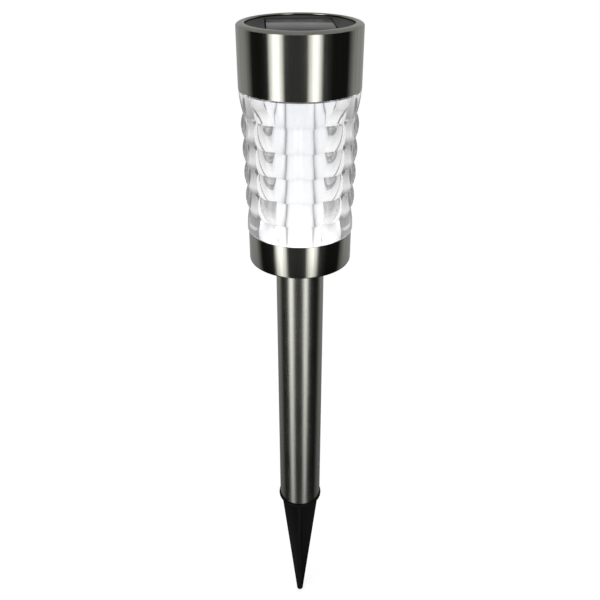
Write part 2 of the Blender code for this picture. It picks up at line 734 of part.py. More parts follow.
def build_housing():
    """The black housing in the sleeve, with the panel's pocket, the wire slot and the screw bosses."""
    shoulder = (HOUSING_RADIUS - HOUSING_SHOULDER, CAP_TOP - RIM_ROUND)
    rise = HOUSING_TOP - shoulder[1]
    outline = [(0.0, HOUSING_TOP)]
    for x, z in arc(shoulder, HOUSING_SHOULDER, 90.0, 0.0):
        outline.append((x, shoulder[1] + (z - shoulder[1]) * rise / HOUSING_SHOULDER))
    outline += [
        (HOUSING_RADIUS, HOUSING_BOTTOM),
        (HOUSING_INNER_RADIUS, HOUSING_BOTTOM),
        (HOUSING_INNER_RADIUS, HOUSING_TOP_UNDERSIDE - HOUSING_WALL),
        (HOUSING_INNER_RADIUS - HOUSING_WALL, HOUSING_TOP_UNDERSIDE),
        (0.0, HOUSING_TOP_UNDERSIDE),
    ]
    housing = turned("panel_housing", outline, BLACK, closed=False, base=LENS_TOP)
    put(housing, HEAD_JOINT, 0.0, 0.0, LENS_TOP)
    boss_bottom = BASE_FLOOR_TOP + SEAT_GAP
    for number, (x, y) in enumerate(boss_places(), 1):
        length = HOUSING_TOP_UNDERSIDE - boss_bottom + 0.5 * HOUSING_WALL
        boss = cylinder(f"boss_{number}", BOSS_RADIUS, length, None)
        boss.location = (x, y, boss_bottom + 0.5 * length)
        combine(housing, boss, "UNION")
    for number, (x, y) in enumerate(boss_places(), 1):
        hole = cylinder(f"boss_hole_{number}", SCREW_HOLE_RADIUS, 2.0 * BOSS_HOLE_DEPTH, None)
        hole.location = (x, y, boss_bottom)
        combine(housing, hole, "DIFFERENCE")
    depth = 2.0 * (HOUSING_TOP - POCKET_FLOOR)
    pocket = box("panel_pocket", (POCKET_SIDE, POCKET_SIDE, depth), None)
    pocket.location.z = HOUSING_TOP
    pocket.rotation_euler.z = PANEL_TURN
    combine(housing, pocket, "DIFFERENCE")
    slot = box("wire_slot", (*WIRE_SLOT, 4.0 * HOUSING_TOP_THICKNESS), None)
    slot.location = (0.0, WIRE_SLOT_Y, HOUSING_TOP)
    combine(housing, slot, "DIFFERENCE")


def build_panel():
    """The solar panel, and the foam ring that beds it in its pocket."""
    panel = box("solar_panel", (PANEL_SIDE, PANEL_SIDE, PANEL_THICKNESS), PANEL)
    put(panel, HEAD_JOINT, 0.0, 0.0, 0.5 * (PANEL_TOP + PANEL_BOTTOM))
    panel.rotation_euler.z = PANEL_TURN
    gasket = box("panel_gasket", (PANEL_SIDE, PANEL_SIDE, GASKET_THICKNESS), FOAM)
    put(gasket, HEAD_JOINT, 0.0, 0.0, GASKET_BOTTOM + 0.5 * GASKET_THICKNESS)
    gasket.rotation_euler.z = PANEL_TURN
    opening = PANEL_SIDE - 2.0 * GASKET_WIDTH
    window = box("gasket_window", (opening, opening, 4.0 * GASKET_THICKNESS), None)
    window.location.z = GASKET_BOTTOM
    window.rotation_euler.z = PANEL_TURN
    combine(gasket, window, "DIFFERENCE")


def cradle_boxes():
    """Corners of the ribs on the base cover that hold the cell, two on each side of it."""
    low = BASE_FLOOR_TOP - 0.5 * BASE_FLOOR
    high = BASE_FLOOR_TOP + CRADLE_HEIGHT
    inner = CELL_RADIUS + CRADLE_GAP
    for side in (-1.0, 1.0):
        near, far = sorted((CELL_Y + side * inner, CELL_Y + side * (inner + CRADLE_WALL)))
        for end in (-1.0, 1.0):
            left, right = sorted((end * CRADLE_INNER_X, end * CRADLE_OUTER_X))
            yield (left, near, low), (right, far, high)


def stop_boxes():
    """Corners of the ribs on the base cover that stand behind the contact plates."""
    low = BASE_FLOOR_TOP - 0.5 * BASE_FLOOR
    reach = 0.5 * STOP_WIDTH
    for plate, end in ((spring_plate_x(), -1.0), (contact_plate_x(), 1.0)):
        near = plate + 0.5 * CONTACT_THICKNESS + SEAT_GAP
        left, right = sorted((end * near, end * (near + STOP_WALL)))
        yield (left, CELL_Y - reach, low), (right, CELL_Y + reach, BASE_FLOOR_TOP + STOP_HEIGHT)


def contact_plate_x():
    """The middle of the plate at the cell's nub."""
    return 0.5 * (CELL_LENGTH + CELL_NUB_LENGTH) + SEAT_GAP + 0.5 * CONTACT_THICKNESS


def spring_plate_x():
    """The distance of the middle of the spring's plate from the axis."""
    cell_end = 0.5 * (CELL_LENGTH + CELL_NUB_LENGTH)
    return cell_end + 2.0 * SEAT_GAP + SPRING_SPACE + 0.5 * CONTACT_THICKNESS


def build_base_cover():
    """The cover under the head: a cup with a flange over the seal, and ribs that hold the cell."""
    outline = [
        (BASE_FLANGE_RADIUS, BASE_FLANGE_TOP),
        (BASE_FLANGE_RADIUS, BASE_FLANGE_BOTTOM),
        (BASE_RADIUS, BASE_FLANGE_BOTTOM),
        (BASE_RADIUS, BASE_BOTTOM + BASE_CHAMFER),
        (BASE_RADIUS - BASE_CHAMFER, BASE_BOTTOM),
        (LED_HOLE_RADIUS, BASE_BOTTOM),
        (LED_HOLE_RADIUS, BASE_FLOOR_TOP),
        (BASE_INNER_RADIUS, BASE_FLOOR_TOP),
        (BASE_INNER_RADIUS, BASE_FLANGE_TOP),
    ]
    cover = turned("base_cover", outline, BLACK, ROUND_STEPS, base=LENS_TOP)
    put(cover, HEAD_JOINT, 0.0, 0.0, LENS_TOP)
    for number, (low, high) in enumerate([*cradle_boxes(), *stop_boxes()], 1):
        combine(cover, box_between(f"rib_{number}", low, high), "UNION")
    for number, (x, y) in enumerate(boss_places(), 1):
        hole = cylinder(f"cover_hole_{number}", SCREW_HOLE_RADIUS, 4.0 * BASE_FLOOR, None)
        hole.location = (x, y, BASE_BOTTOM)
        combine(cover, hole, "DIFFERENCE")
    slot_size = (KNOB_SIZE[0] + SWITCH_TRAVEL + 2.0 * SEAT_GAP, KNOB_SIZE[1] + 2.0 * SEAT_GAP)
    slot = box("switch_slot", (*slot_size, 4.0 * BASE_FLOOR), None)
    slot.location = (0.0, SWITCH_Y, BASE_BOTTOM)
    combine(cover, slot, "DIFFERENCE")


def build_cover_screws():
    """The screws that hold the base cover to the housing's bosses."""
    for number, (x, y) in enumerate(boss_places(), 1):
        name = f"cover_screw_{number}"
        screw = turned(name, screw_outline(COVER_SCREW_LENGTH), ZINC, SCREW_STEPS, closed=False)
        put(screw, HEAD_JOINT, x, y, BASE_BOTTOM - SEAT_GAP)


def build_cell():
    """The rechargeable cell, lying across the head behind the board."""
    half = 0.5 * (CELL_LENGTH + CELL_NUB_LENGTH)
    body_top = half - CELL_NUB_LENGTH
    outline = [
        (0.0, half),
        (CELL_NUB_RADIUS, half),
        (CELL_NUB_RADIUS, body_top),
        (CELL_RADIUS - CELL_EDGE, body_top),
        (CELL_RADIUS, body_top - CELL_EDGE),
        (CELL_RADIUS, CELL_EDGE - half),
        (CELL_RADIUS - CELL_EDGE, -half),
        (0.0, -half),
    ]
    cell = turned("battery_cell", outline, CELL_WRAP, INNER_STEPS, closed=False)
    put(cell, HEAD_JOINT, 0.0, CELL_Y, CELL_AXIS_Z)
    cell.rotation_euler.y = math.radians(90.0)


def build_contacts():
    """The plate at the cell's nub, and the spring and its plate at the other end."""
    size = (CONTACT_THICKNESS, CONTACT_WIDTH, CONTACT_HEIGHT)
    middle = BASE_FLOOR_TOP + SEAT_GAP + 0.5 * CONTACT_HEIGHT
    put(box("contact_plate", size, NICKEL), HEAD_JOINT, contact_plate_x(), CELL_Y, middle)
    put(box("spring_plate", size, NICKEL), HEAD_JOINT, -spring_plate_x(), CELL_Y, middle)
    cell_end = 0.5 * (CELL_LENGTH + CELL_NUB_LENGTH)
    start = -(cell_end + SEAT_GAP + SPRING_SPACE - SPRING_WIRE_RADIUS)
    length = SPRING_SPACE - 2.0 * SPRING_WIRE_RADIUS
    count = int(SPRING_TURNS * SPRING_POINTS_PER_TURN)
    coil = []
    for i in range(count + 1):
        share = i / count
        radius = SPRING_RADII[0] + (SPRING_RADII[1] - SPRING_RADII[0]) * share
        angle = 2.0 * math.pi * SPRING_TURNS * share
        y = CELL_Y + radius * math.cos(angle)
        coil.append((start + length * share, y, CELL_AXIS_Z + radius * math.sin(angle)))
    tube("battery_spring", coil, SPRING_WIRE_RADIUS, NICKEL, HEAD_JOINT, steps=1)


def build_board():
    """The circuit board, its controller chip and its inductor."""
    board_low = (-0.5 * BOARD_WIDTH, BOARD_FRONT_Y, BOARD_BOTTOM)
    board_high = (0.5 * BOARD_WIDTH, BOARD_BACK_Y, BOARD_TOP)
    size = [b - a for a, b in zip(board_low, board_high)]
    board = box("circuit_board", size, BOARD)
    put(board, HEAD_JOINT, *[(a + b) / 2.0 for a, b in zip(board_low, board_high)])
    chip = box("controller_chip", CHIP_SIZE, CHIP, bevel=0.0003)
    put(chip, HEAD_JOINT, 0.0, CHIP_Y, BOARD_TOP + SEAT_GAP + 0.5 * CHIP_SIZE[2])
    coil = cylinder("inductor", INDUCTOR_RADIUS, INDUCTOR_LENGTH, COIL)
    put(coil, HEAD_JOINT, 0.0, INDUCTOR_Y, BOARD_TOP + SEAT_GAP + INDUCTOR_RADIUS)
    coil.rotation_euler.y = math.radians(90.0)


def build_led():
    """The LED, which points down through the base cover, with its two legs up to the board."""
    flange_top = LED_FLANGE_BOTTOM + LED_FLANGE_THICKNESS
    dome = (0.0, flange_top - LED_LENGTH + LED_RADIUS)
    outline = [
        (0.0, flange_top),
        (LED_FLANGE_RADIUS, flange_top),
        (LED_FLANGE_RADIUS, LED_FLANGE_BOTTOM),
        (LED_RADIUS, LED_FLANGE_BOTTOM),
        *arc(dome, LED_RADIUS, 0.0, -90.0)[:-1],
        (0.0, flange_top - LED_LENGTH),
    ]
    led = turned("led", outline, LED_RESIN, INNER_STEPS, closed=False, base=LED_FLANGE_BOTTOM)
    put(led, HEAD_JOINT, 0.0, 0.0, LED_FLANGE_BOTTOM)
    leg_bottom = flange_top - 0.5 * LED_FLANGE_THICKNESS
    leg_length = BOARD_BOTTOM - SEAT_GAP - leg_bottom
    for number, side in enumerate((-0.5, 0.5), 1):
        leg = cylinder(f"led_leg_{number}", LED_LEG_RADIUS, leg_length, None, 6)
        leg.location = (side * LED_LEG_SPACING, 0.0, leg_bottom + 0.5 * leg_length)
        combine(led, leg, "UNION")


def build_switch():
    """The slide switch: a hollow body, and the slider whose knob reaches through the cover."""
    body = box("switch_body", SWITCH_SIZE, CHIP)
    put(body, HEAD_JOINT, 0.0, SWITCH_Y, 0.5 * (SWITCH_BOTTOM + SWITCH_TOP))
    hollow_size = [side - 2.0 * SWITCH_WALL for side in SWITCH_SIZE[:2]]
    hollow = box("switch_hollow", (*hollow_size, 2.0 * SWITCH_CAVITY_DEPTH), None)
    hollow.location = (0.0, SWITCH_Y, SWITCH_BOTTOM)
    combine(body, hollow, "DIFFERENCE")
    carriage_top = SWITCH_BOTTOM + SWITCH_CAVITY_DEPTH - SEAT_GAP
    carriage_bottom = carriage_top - CARRIAGE_SIZE[2]
    slider = box("switch_slider", CARRIAGE_SIZE, BLACK)
    put(slider, SWITCH_JOINT, SWITCH_X, SWITCH_Y, 0.5 * (carriage_top + carriage_bottom))
    knob_bottom = BASE_BOTTOM - KNOB_BELOW_COVER
    knob_top = 0.5 * (carriage_top + carriage_bottom)
    knob = box("slider_knob", (*KNOB_SIZE, knob_top - knob_bottom), None)
    knob.location = (SWITCH_X, SWITCH_Y, 0.5 * (knob_top + knob_bottom))
    combine(slider, knob, "UNION")


def build_leads():
    """The leads from the panel and from the cell's contacts to the board."""
    solder = BOARD_TOP + SEAT_GAP
    tab = BASE_FLOOR_TOP + 2.0 * SEAT_GAP + CONTACT_HEIGHT
    for side, panel_name, panel_finish in ((-1.0, "panel_lead_black", BLACK), (1.0, "panel_lead_red", RED)):
        route = [
            (side * 0.0025, WIRE_SLOT_Y, PANEL_BOTTOM - SEAT_GAP),
            (side * 0.0025, WIRE_SLOT_Y, HOUSING_TOP_UNDERSIDE - 0.0010),
            (side * 0.0038, WIRE_SLOT_Y - 0.0020, solder + 0.0075),
            (side * 0.0053, WIRE_SLOT_Y - 0.0062, solder + 0.0038),
            (side * 0.0055, WIRE_SLOT_Y - 0.0070, solder),
        ]
        tube(panel_name, route, LEAD_RADIUS, panel_finish, HEAD_JOINT)
    ends = (
        (-spring_plate_x(), "battery_lead_black", BLACK),
        (contact_plate_x(), "battery_lead_red", RED),
    )
    for start, name, finish in ends:
        side = math.copysign(1.0, start)
        route = [
            (start, CELL_Y - 0.0015, tab),
            (start - side * 0.0004, CELL_Y - 0.0030, tab + 0.0020),
            (side * 0.0125, CELL_Y - 0.0062, tab + 0.0032),
            (side * 0.0088, CELL_Y - 0.0098, solder + 0.0050),
            (side * 0.0062, CELL_Y - 0.0110, solder),
        ]
        tube(name, route, LEAD_RADIUS, finish, HEAD_JOINT)


def build_light():
    """Every piece of the light, from the ground up."""
    build_spike()
    build_pole()
    build_collar()
    build_insert()
    build_insert_screw()
    build_lens()
    build_reflector()
    build_diffuser()
    build_seal()
    build_cap()
    build_housing()
    build_panel()
    build_base_cover()
    build_cover_screws()
    build_cell()
    build_contacts()
    build_board()
    build_led()
    build_switch()
    build_leads()


build_light()
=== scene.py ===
"""The looks of a solar garden light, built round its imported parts.

Metres, +Z up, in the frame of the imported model: the origin is on the light's axis at ground level.
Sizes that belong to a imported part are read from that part's box; what only the looks need is a field here.
"""

import logging
import math
from collections.abc import Sequence
from dataclasses import dataclass
from enum import Enum
from functools import cached_property

import bmesh
import bpy
from mathutils import Matrix, Vector


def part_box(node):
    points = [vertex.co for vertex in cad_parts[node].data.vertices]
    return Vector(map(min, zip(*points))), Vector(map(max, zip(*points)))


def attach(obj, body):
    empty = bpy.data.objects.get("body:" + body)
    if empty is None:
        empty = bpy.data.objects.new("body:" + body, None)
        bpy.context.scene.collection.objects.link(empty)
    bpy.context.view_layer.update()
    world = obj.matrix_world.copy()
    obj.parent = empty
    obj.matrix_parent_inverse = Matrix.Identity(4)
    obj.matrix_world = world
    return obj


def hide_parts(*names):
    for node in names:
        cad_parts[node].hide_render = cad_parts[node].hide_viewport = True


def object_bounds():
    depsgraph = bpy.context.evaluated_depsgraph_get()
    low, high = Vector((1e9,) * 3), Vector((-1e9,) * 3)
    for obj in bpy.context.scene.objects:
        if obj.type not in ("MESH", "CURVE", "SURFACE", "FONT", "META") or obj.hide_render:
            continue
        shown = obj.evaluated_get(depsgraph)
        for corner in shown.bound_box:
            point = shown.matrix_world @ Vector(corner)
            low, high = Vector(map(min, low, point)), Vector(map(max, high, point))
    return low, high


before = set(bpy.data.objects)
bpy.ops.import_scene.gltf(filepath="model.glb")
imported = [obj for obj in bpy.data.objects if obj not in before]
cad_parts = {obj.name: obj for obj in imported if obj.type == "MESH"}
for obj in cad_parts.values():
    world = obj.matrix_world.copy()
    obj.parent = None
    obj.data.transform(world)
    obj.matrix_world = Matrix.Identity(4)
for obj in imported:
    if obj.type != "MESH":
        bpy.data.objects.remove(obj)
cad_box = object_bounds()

Corner = tuple[float, float, float]
Point = tuple[float, float]
Color = tuple[float, float, float]
Feed = bpy.types.NodeSocket | float | tuple[float, ...]

MERGE_DISTANCE = 1e-6
LEAST_AREA = 1e-14
ROUND_STEPS = 128
SMALL_STEPS = 48
FILLET_STEPS = 4
SHARP_ANGLE = math.radians(35.0)
# The vertex layer that marks the lens's creases, where its finish paints shade.
CREASE_SHADE = "crease_shade"

log = logging.getLogger("solar_garden_light")


class Body(Enum):
    """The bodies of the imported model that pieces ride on."""

    STAKE = "stake"
    POLE = "pole"
    LAMP = "lamp"
    SEAL = "seal"
    HEAD = "head"
    SWITCH = "switch"


class Grain(Enum):
    """Which way the brushing of a metal runs."""

    ALONG = (1.0, 1.0, 0.012)
    ACROSS = (0.03, 0.03, 1.0)
    NONE = (1.0, 1.0, 1.0)


class Join(Enum):
    """How one solid is joined to another."""

    UNION = "UNION"
    DIFFERENCE = "DIFFERENCE"


# ---------------------------------------------------------------- node trees


class ShaderBench:
    """Adds and joins the nodes of one node tree."""

    def __init__(self, tree: bpy.types.NodeTree) -> None:
        """Keeps the tree."""
        self.tree = tree

    def feed(self, socket: bpy.types.NodeSocket, value: Feed) -> None:
        """Links a socket to the input, or sets the input's own value.

        Args:
            socket: The input.
            value: A socket, a number or a color.
        """
        if isinstance(value, bpy.types.NodeSocket):
            self.tree.links.new(value, socket)
        elif isinstance(value, tuple) and socket.type == "RGBA":
            socket.default_value = (*value[:3], 1.0)
        else:
            socket.default_value = value

    def node(self, kind: str, feeds: dict[str, Feed] | None = None, **settings: object) -> bpy.types.Node:
        """Adds a node.

        Args:
            kind: The node's type name.
            feeds: What its inputs get, by name.
            **settings: Properties of the node.

        Returns:
            The node.
        """
        made = self.tree.nodes.new(kind)
        for name, value in settings.items():
            setattr(made, name, value)
        for name, value in (feeds or {}).items():
            self.feed(made.inputs[name], value)
        return made

    def math(self, operation: str, first: Feed, second: Feed = 0.0) -> bpy.types.NodeSocket:
        """The result of a math node.

        Args:
            operation: The node's operation.
            first: The first input.
            second: The second input.

        Returns:
            The output socket.
        """
        made = self.node("ShaderNodeMath", operation=operation)
        self.feed(made.inputs[0], first)
        self.feed(made.inputs[1], second)
        return made.outputs[0]

    def spread(
        self, value: Feed, low: Feed, high: Feed, start: float = 0.0, end: float = 1.0,
    ) -> bpy.types.NodeSocket:
        """A value between start and end, mapped to the range from low to high.

        Args:
            value: What is mapped.
            low: The result at start.
            high: The result at end.
            start: The lower end of the value's range.
            end: The upper end of the value's range.

        Returns:
            The output socket.
        """
        feeds = {"Value": value, "From Min": start, "From Max": end, "To Min": low, "To Max": high}
        return self.node("ShaderNodeMapRange", feeds, clamp=True).outputs["Result"]

    def blend(self, share: Feed, first: Feed, second: Feed) -> bpy.types.NodeSocket:
        """A color between two colors.

        Args:
            share: The second color's share.
            first: The color at 0.
            second: The color at 1.

        Returns:
            The output socket.
        """
        made = self.node("ShaderNodeMix", data_type="RGBA")
        self.feed(made.inputs[0], share)
        self.feed(made.inputs[6], first)
        self.feed(made.inputs[7], second)
        return made.outputs[2]

    def ramp(self, share: Feed, stops: Sequence[tuple[float, Color]]) -> bpy.types.NodeSocket:
        """A color ramp.

        Args:
            share: The place on the ramp.
            stops: The ramp's places and colors, in order.

        Returns:
            The output socket.
        """
        made = self.node("ShaderNodeValToRGB", {"Fac": share})
        elements = made.color_ramp.elements
        while len(elements) < len(stops):
            elements.new(1.0)
        for element, (place, color) in zip(elements, stops):
            element.position = place
            element.color = (*color, 1.0)
        return made.outputs["Color"]

    def place(self, stretch: tuple[float, float, float] = (1.0, 1.0, 1.0)) -> bpy.types.NodeSocket:
        """Object coordinates, stretched along the axes.

        Args:
            stretch: The scale along X, Y and Z.

        Returns:
            The output socket.
        """
        coordinates = self.node("ShaderNodeTexCoord").outputs["Object"]
        mapping = self.node("ShaderNodeMapping", {"Vector": coordinates, "Scale": stretch})
        return mapping.outputs["Vector"]

    def noise(
        self, vector: Feed, scale: Feed, detail: float = 3.0, roughness: float = 0.55,
    ) -> bpy.types.NodeSocket:
        """The value of a noise texture.

        Args:
            vector: The coordinates.
            scale: The texture's scale.
            detail: The number of octaves.
            roughness: How much the finer octaves count.

        Returns:
            The output socket.
        """
        feeds = {"Vector": vector, "Scale": scale, "Detail": detail, "Roughness": roughness}
        return self.node("ShaderNodeTexNoise", feeds).outputs["Fac"]

    def cell(self, vector: Feed, scale: Feed) -> bpy.types.NodeSocket:
        """The distance to the nearest point of a cell texture."""
        return self.node("ShaderNodeTexVoronoi", {"Vector": vector, "Scale": scale}).outputs["Distance"]

    def bump(self, height: Feed, depth: float, strength: float = 1.0) -> bpy.types.NodeSocket:
        """A normal bent by a height.

        Args:
            height: The height, from 0 to 1.
            depth: The height's full size in metres.
            strength: How strongly it shows.

        Returns:
            The output socket.
        """
        feeds = {"Height": height, "Distance": depth, "Strength": strength}
        return self.node("ShaderNodeBump", feeds).outputs["Normal"]


class Effect:
    """A shader node group that several materials use, built at its first use."""

    title = ""
    takes: tuple[tuple[str, float], ...] = ()
    gives: tuple[str, ...] = ()

    def group(self) -> bpy.types.NodeTree:
        """The group's tree."""
        found = bpy.data.node_groups.get(self.title)
        if found:
            return found
        tree = bpy.data.node_groups.new(self.title, "ShaderNodeTree")
        for name, value in self.takes:
            socket = tree.interface.new_socket(name=name, in_out="INPUT", socket_type="NodeSocketFloat")
            socket.default_value = value
        for name in self.gives:
            tree.interface.new_socket(name=name, in_out="OUTPUT", socket_type="NodeSocketFloat")
        bench = ShaderBench(tree)
        source = bench.node("NodeGroupInput")
        target = bench.node("NodeGroupOutput")
        self.fill(bench, source.outputs, target.inputs)
        return tree

    def fill(self, bench: ShaderBench, takes: bpy.types.NodeInputs, gives: bpy.types.NodeOutputs) -> None:
        """Builds the inside of the group.

        Args:
            bench: The group's tree.
            takes: The sockets that bring the group's inputs.
            gives: The sockets that take the group's outputs.
        """
        raise NotImplementedError

    def put(self, bench: ShaderBench, **values: Feed) -> bpy.types.Node:
        """Places the group in a material's tree.

        Args:
            bench: The material's tree.
            **values: The inputs' values, by name.

        Returns:
            The group's node.
        """
        made = bench.node("ShaderNodeGroup")
        made.node_tree = self.group()
        for name, value in values.items():
            bench.feed(made.inputs[name], value)
        return made


class BrushedStreaks(Effect):
    """Fine streaks left by brushing, in the direction that the coordinates are stretched."""

    def __init__(self, grain: Grain) -> None:
        """Keeps the direction."""
        self.grain = grain
        self.title = f"brushed_streaks_{grain.name.lower()}"
        self.takes = (("Fineness", 1.0),)
        self.gives = ("Streaks", "Smudges")

    def fill(self, bench: ShaderBench, takes: bpy.types.NodeInputs, gives: bpy.types.NodeOutputs) -> None:
        """Builds the inside of the group."""
        along = bench.place(self.grain.value)
        fine = bench.noise(along, bench.math("MULTIPLY", takes["Fineness"], 3200.0), 2.0, 0.6)
        broad = bench.noise(along, bench.math("MULTIPLY", takes["Fineness"], 420.0), 3.0, 0.55)
        mixed = bench.math("ADD", bench.math("MULTIPLY", fine, 0.55), bench.math("MULTIPLY", broad, 0.45))
        bench.feed(gives["Streaks"], mixed)
        bench.feed(gives["Smudges"], bench.noise(bench.place(), 38.0, 3.0, 0.5))


class MouldGrain(Effect):
    """The faint grain of a moulded surface, and the slow flow marks in it."""

    title = "mould_grain"
    takes = (("Fineness", 1.0),)
    gives = ("Height", "Flow")

    def fill(self, bench: ShaderBench, takes: bpy.types.NodeInputs, gives: bpy.types.NodeOutputs) -> None:
        """Builds the inside of the group."""
        place = bench.place()
        pits = bench.cell(place, bench.math("MULTIPLY", takes["Fineness"], 2600.0))
        speck = bench.noise(place, bench.math("MULTIPLY", takes["Fineness"], 1500.0), 2.0, 0.6)
        mixed = bench.math("ADD", bench.math("MULTIPLY", pits, 0.5), bench.math("MULTIPLY", speck, 0.5))
        bench.feed(gives["Height"], mixed)
        bench.feed(gives["Flow"], bench.noise(bench.place((1.0, 1.0, 0.35)), 60.0, 4.0, 0.5))


class EdgeWear(Effect):
    """A mask that is 1 on outer edges that rubbing has worn, broken up by noise."""

    title = "edge_wear"
    takes = (("Amount", 0.5),)
    gives = ("Mask",)

    def fill(self, bench: ShaderBench, takes: bpy.types.NodeInputs, gives: bpy.types.NodeOutputs) -> None:
        """Builds the inside of the group."""
        pointed = bench.node("ShaderNodeNewGeometry").outputs["Pointiness"]
        edge = bench.spread(pointed, 0.0, 1.0, 0.52, 0.60)
        rubbed = bench.spread(bench.noise(bench.place(), 240.0, 3.0, 0.6), 0.2, 1.0, 0.35, 0.65)
        mask = bench.math("MULTIPLY", bench.math("MULTIPLY", edge, rubbed), takes["Amount"])
        bench.feed(gives["Mask"], mask)


class DustFilm(Effect):
    """A mask of the dust that settles on faces that look upwards."""

    title = "dust_film"
    takes = (("Amount", 0.3),)
    gives = ("Mask",)

    def fill(self, bench: ShaderBench, takes: bpy.types.NodeInputs, gives: bpy.types.NodeOutputs) -> None:
        """Builds the inside of the group."""
        normal = bench.node("ShaderNodeNewGeometry").outputs["Normal"]
        upward = bench.node("ShaderNodeSeparateXYZ", {"Vector": normal}).outputs["Z"]
        facing = bench.spread(upward, 0.0, 1.0, 0.1, 0.9)
        patches = bench.spread(bench.noise(bench.place(), 90.0, 4.0, 0.6), 0.3, 1.0, 0.3, 0.7)
        mask = bench.math("MULTIPLY", bench.math("MULTIPLY", facing, patches), takes["Amount"])
        bench.feed(gives["Mask"], mask)


# ---------------------------------------------------------------- finishes


@dataclass(frozen=True)
class Finish:
    """What a surface is made of. Each kind of finish dresses its own material."""

    name: str

    def material(self) -> bpy.types.Material:
        """The finish's material, built at its first use."""
        if self in MADE_FINISHES:
            return MADE_FINISHES[self]
        made = bpy.data.materials.new(self.name)
        made.use_nodes = True
        made.node_tree.nodes.clear()
        bench = ShaderBench(made.node_tree)
        surface = bench.node("ShaderNodeBsdfPrincipled")
        bench.node("ShaderNodeOutputMaterial", {"Surface": surface.outputs["BSDF"]})
        self.dress(bench, surface)
        MADE_FINISHES[self] = made
        return made

    def dress(self, bench: ShaderBench, surface: bpy.types.Node) -> None:
        """Feeds the surface shader.

        Args:
            bench: The material's tree.
            surface: The Principled BSDF.
        """
        raise NotImplementedError


MADE_FINISHES: dict[Finish, bpy.types.Material] = {}


@dataclass(frozen=True)
class BrushedMetal(Finish):
    """A metal with brushing in it, such as the steel sleeves or a plated contact."""

    light: Color
    dark: Color
    grain: Grain = Grain.ALONG
    smooth: float = 0.09
    rough: float = 0.16
    streak_depth: float = 0.000002
    wear: float = 0.25

    def dress(self, bench: ShaderBench, surface: bpy.types.Node) -> None:
        """Feeds the surface shader."""
        brushed = BrushedStreaks(self.grain).put(bench, Fineness=1.0).outputs
        worn = EdgeWear().put(bench, Amount=self.wear).outputs["Mask"]
        dusty = DustFilm().put(bench, Amount=0.12).outputs["Mask"]
        tone = bench.blend(bench.spread(brushed["Streaks"], 0.0, 1.0, 0.35, 0.65), self.dark, self.light)
        tone = bench.blend(worn, tone, (0.62, 0.62, 0.58))
        bench.feed(surface.inputs["Base Color"], bench.blend(dusty, tone, (0.34, 0.33, 0.30)))
        streaks = bench.math("MULTIPLY", brushed["Streaks"], 0.5)
        level = bench.math("ADD", streaks, bench.math("MULTIPLY", brushed["Smudges"], 0.5))
        bench.feed(surface.inputs["Roughness"], bench.spread(level, self.smooth, self.rough, 0.3, 0.7))
        bench.feed(surface.inputs["Normal"], bench.bump(brushed["Streaks"], self.streak_depth))
        surface.inputs["Metallic"].default_value = 1.0


@dataclass(frozen=True)
class MouldedPlastic(Finish):
    """An opaque moulded plastic, with a faint grain, worn edges and a little dust."""

    color: Color
    smooth: float = 0.38
    rough: float = 0.55
    pit_depth: float = 0.00003
    wear: float = 0.4
    dust: float = 0.10
    gloss: float = 0.5

    def dress(self, bench: ShaderBench, surface: bpy.types.Node) -> None:
        """Feeds the surface shader."""
        grain = MouldGrain().put(bench, Fineness=1.0).outputs
        worn = EdgeWear().put(bench, Amount=self.wear).outputs["Mask"]
        dusty = DustFilm().put(bench, Amount=self.dust).outputs["Mask"]
        pale = tuple(min(1.0, 1.35 * part + 0.004) for part in self.color)
        rubbed = tuple(min(1.0, 2.2 * part + 0.03) for part in self.color)
        tone = bench.blend(bench.spread(grain["Flow"], 0.0, 1.0, 0.3, 0.7), self.color, pale)
        tone = bench.blend(worn, tone, rubbed)
        bench.feed(surface.inputs["Base Color"], bench.blend(dusty, tone, (0.20, 0.19, 0.17)))
        bench.feed(surface.inputs["Roughness"], bench.spread(grain["Height"], self.smooth, self.rough, 0.2, 0.8))
        bench.feed(surface.inputs["Normal"], bench.bump(grain["Height"], self.pit_depth, 0.5))
        surface.inputs["Specular IOR Level"].default_value = self.gloss


@dataclass(frozen=True)
class ClearPlastic(Finish):
    """A clear moulded plastic with faint flow marks, an optional painted glow that fades upwards, and painted
    shade where a vertex layer marks creases.
    """

    tint: Color
    index: float = 1.49
    roughness: float = 0.0
    wave_depth: float = 0.00004
    # Strength of the painted glow: emission from a plastic that is no lamp.
    painted_glow: float = 0.0
    light_from: float = 0.0
    light_to: float = 1.0

    def dress(self, bench: ShaderBench, surface: bpy.types.Node) -> None:
        """Feeds the surface shader."""
        grain = MouldGrain().put(bench, Fineness=0.02).outputs
        # Painted shade: where the vertex layer marks a crease, the base colour turns grey.
        crease_shade = bench.node("ShaderNodeAttribute", attribute_name=CREASE_SHADE).outputs["Fac"]
        clear = bench.blend(grain["Flow"], (1.0, 1.0, 1.0), self.tint)
        bench.feed(surface.inputs["Base Color"], bench.blend(crease_shade, clear, (0.80, 0.80, 0.79)))
        bench.feed(surface.inputs["Normal"], bench.bump(grain["Flow"], self.wave_depth, 0.6))
        surface.inputs["Roughness"].default_value = self.roughness
        surface.inputs["IOR"].default_value = self.index
        surface.inputs["Transmission Weight"].default_value = 1.0
        # Painted glow: the emission is brightest at light_from, dims to grey by light_to, and is mottled by the
        # flow marks.
        height = bench.node("ShaderNodeSeparateXYZ", {"Vector": bench.place()}).outputs["Z"]
        share = bench.spread(height, 1.0, 0.0, self.light_from, self.light_to)
        painted_glow_tone = bench.blend(share, (0.30, 0.295, 0.305), (1.0, 0.99, 1.0))
        bench.feed(surface.inputs["Emission Color"], bench.blend(grain["Flow"], painted_glow_tone, (0.28, 0.28, 0.29)))
        surface.inputs["Emission Strength"].default_value = self.painted_glow


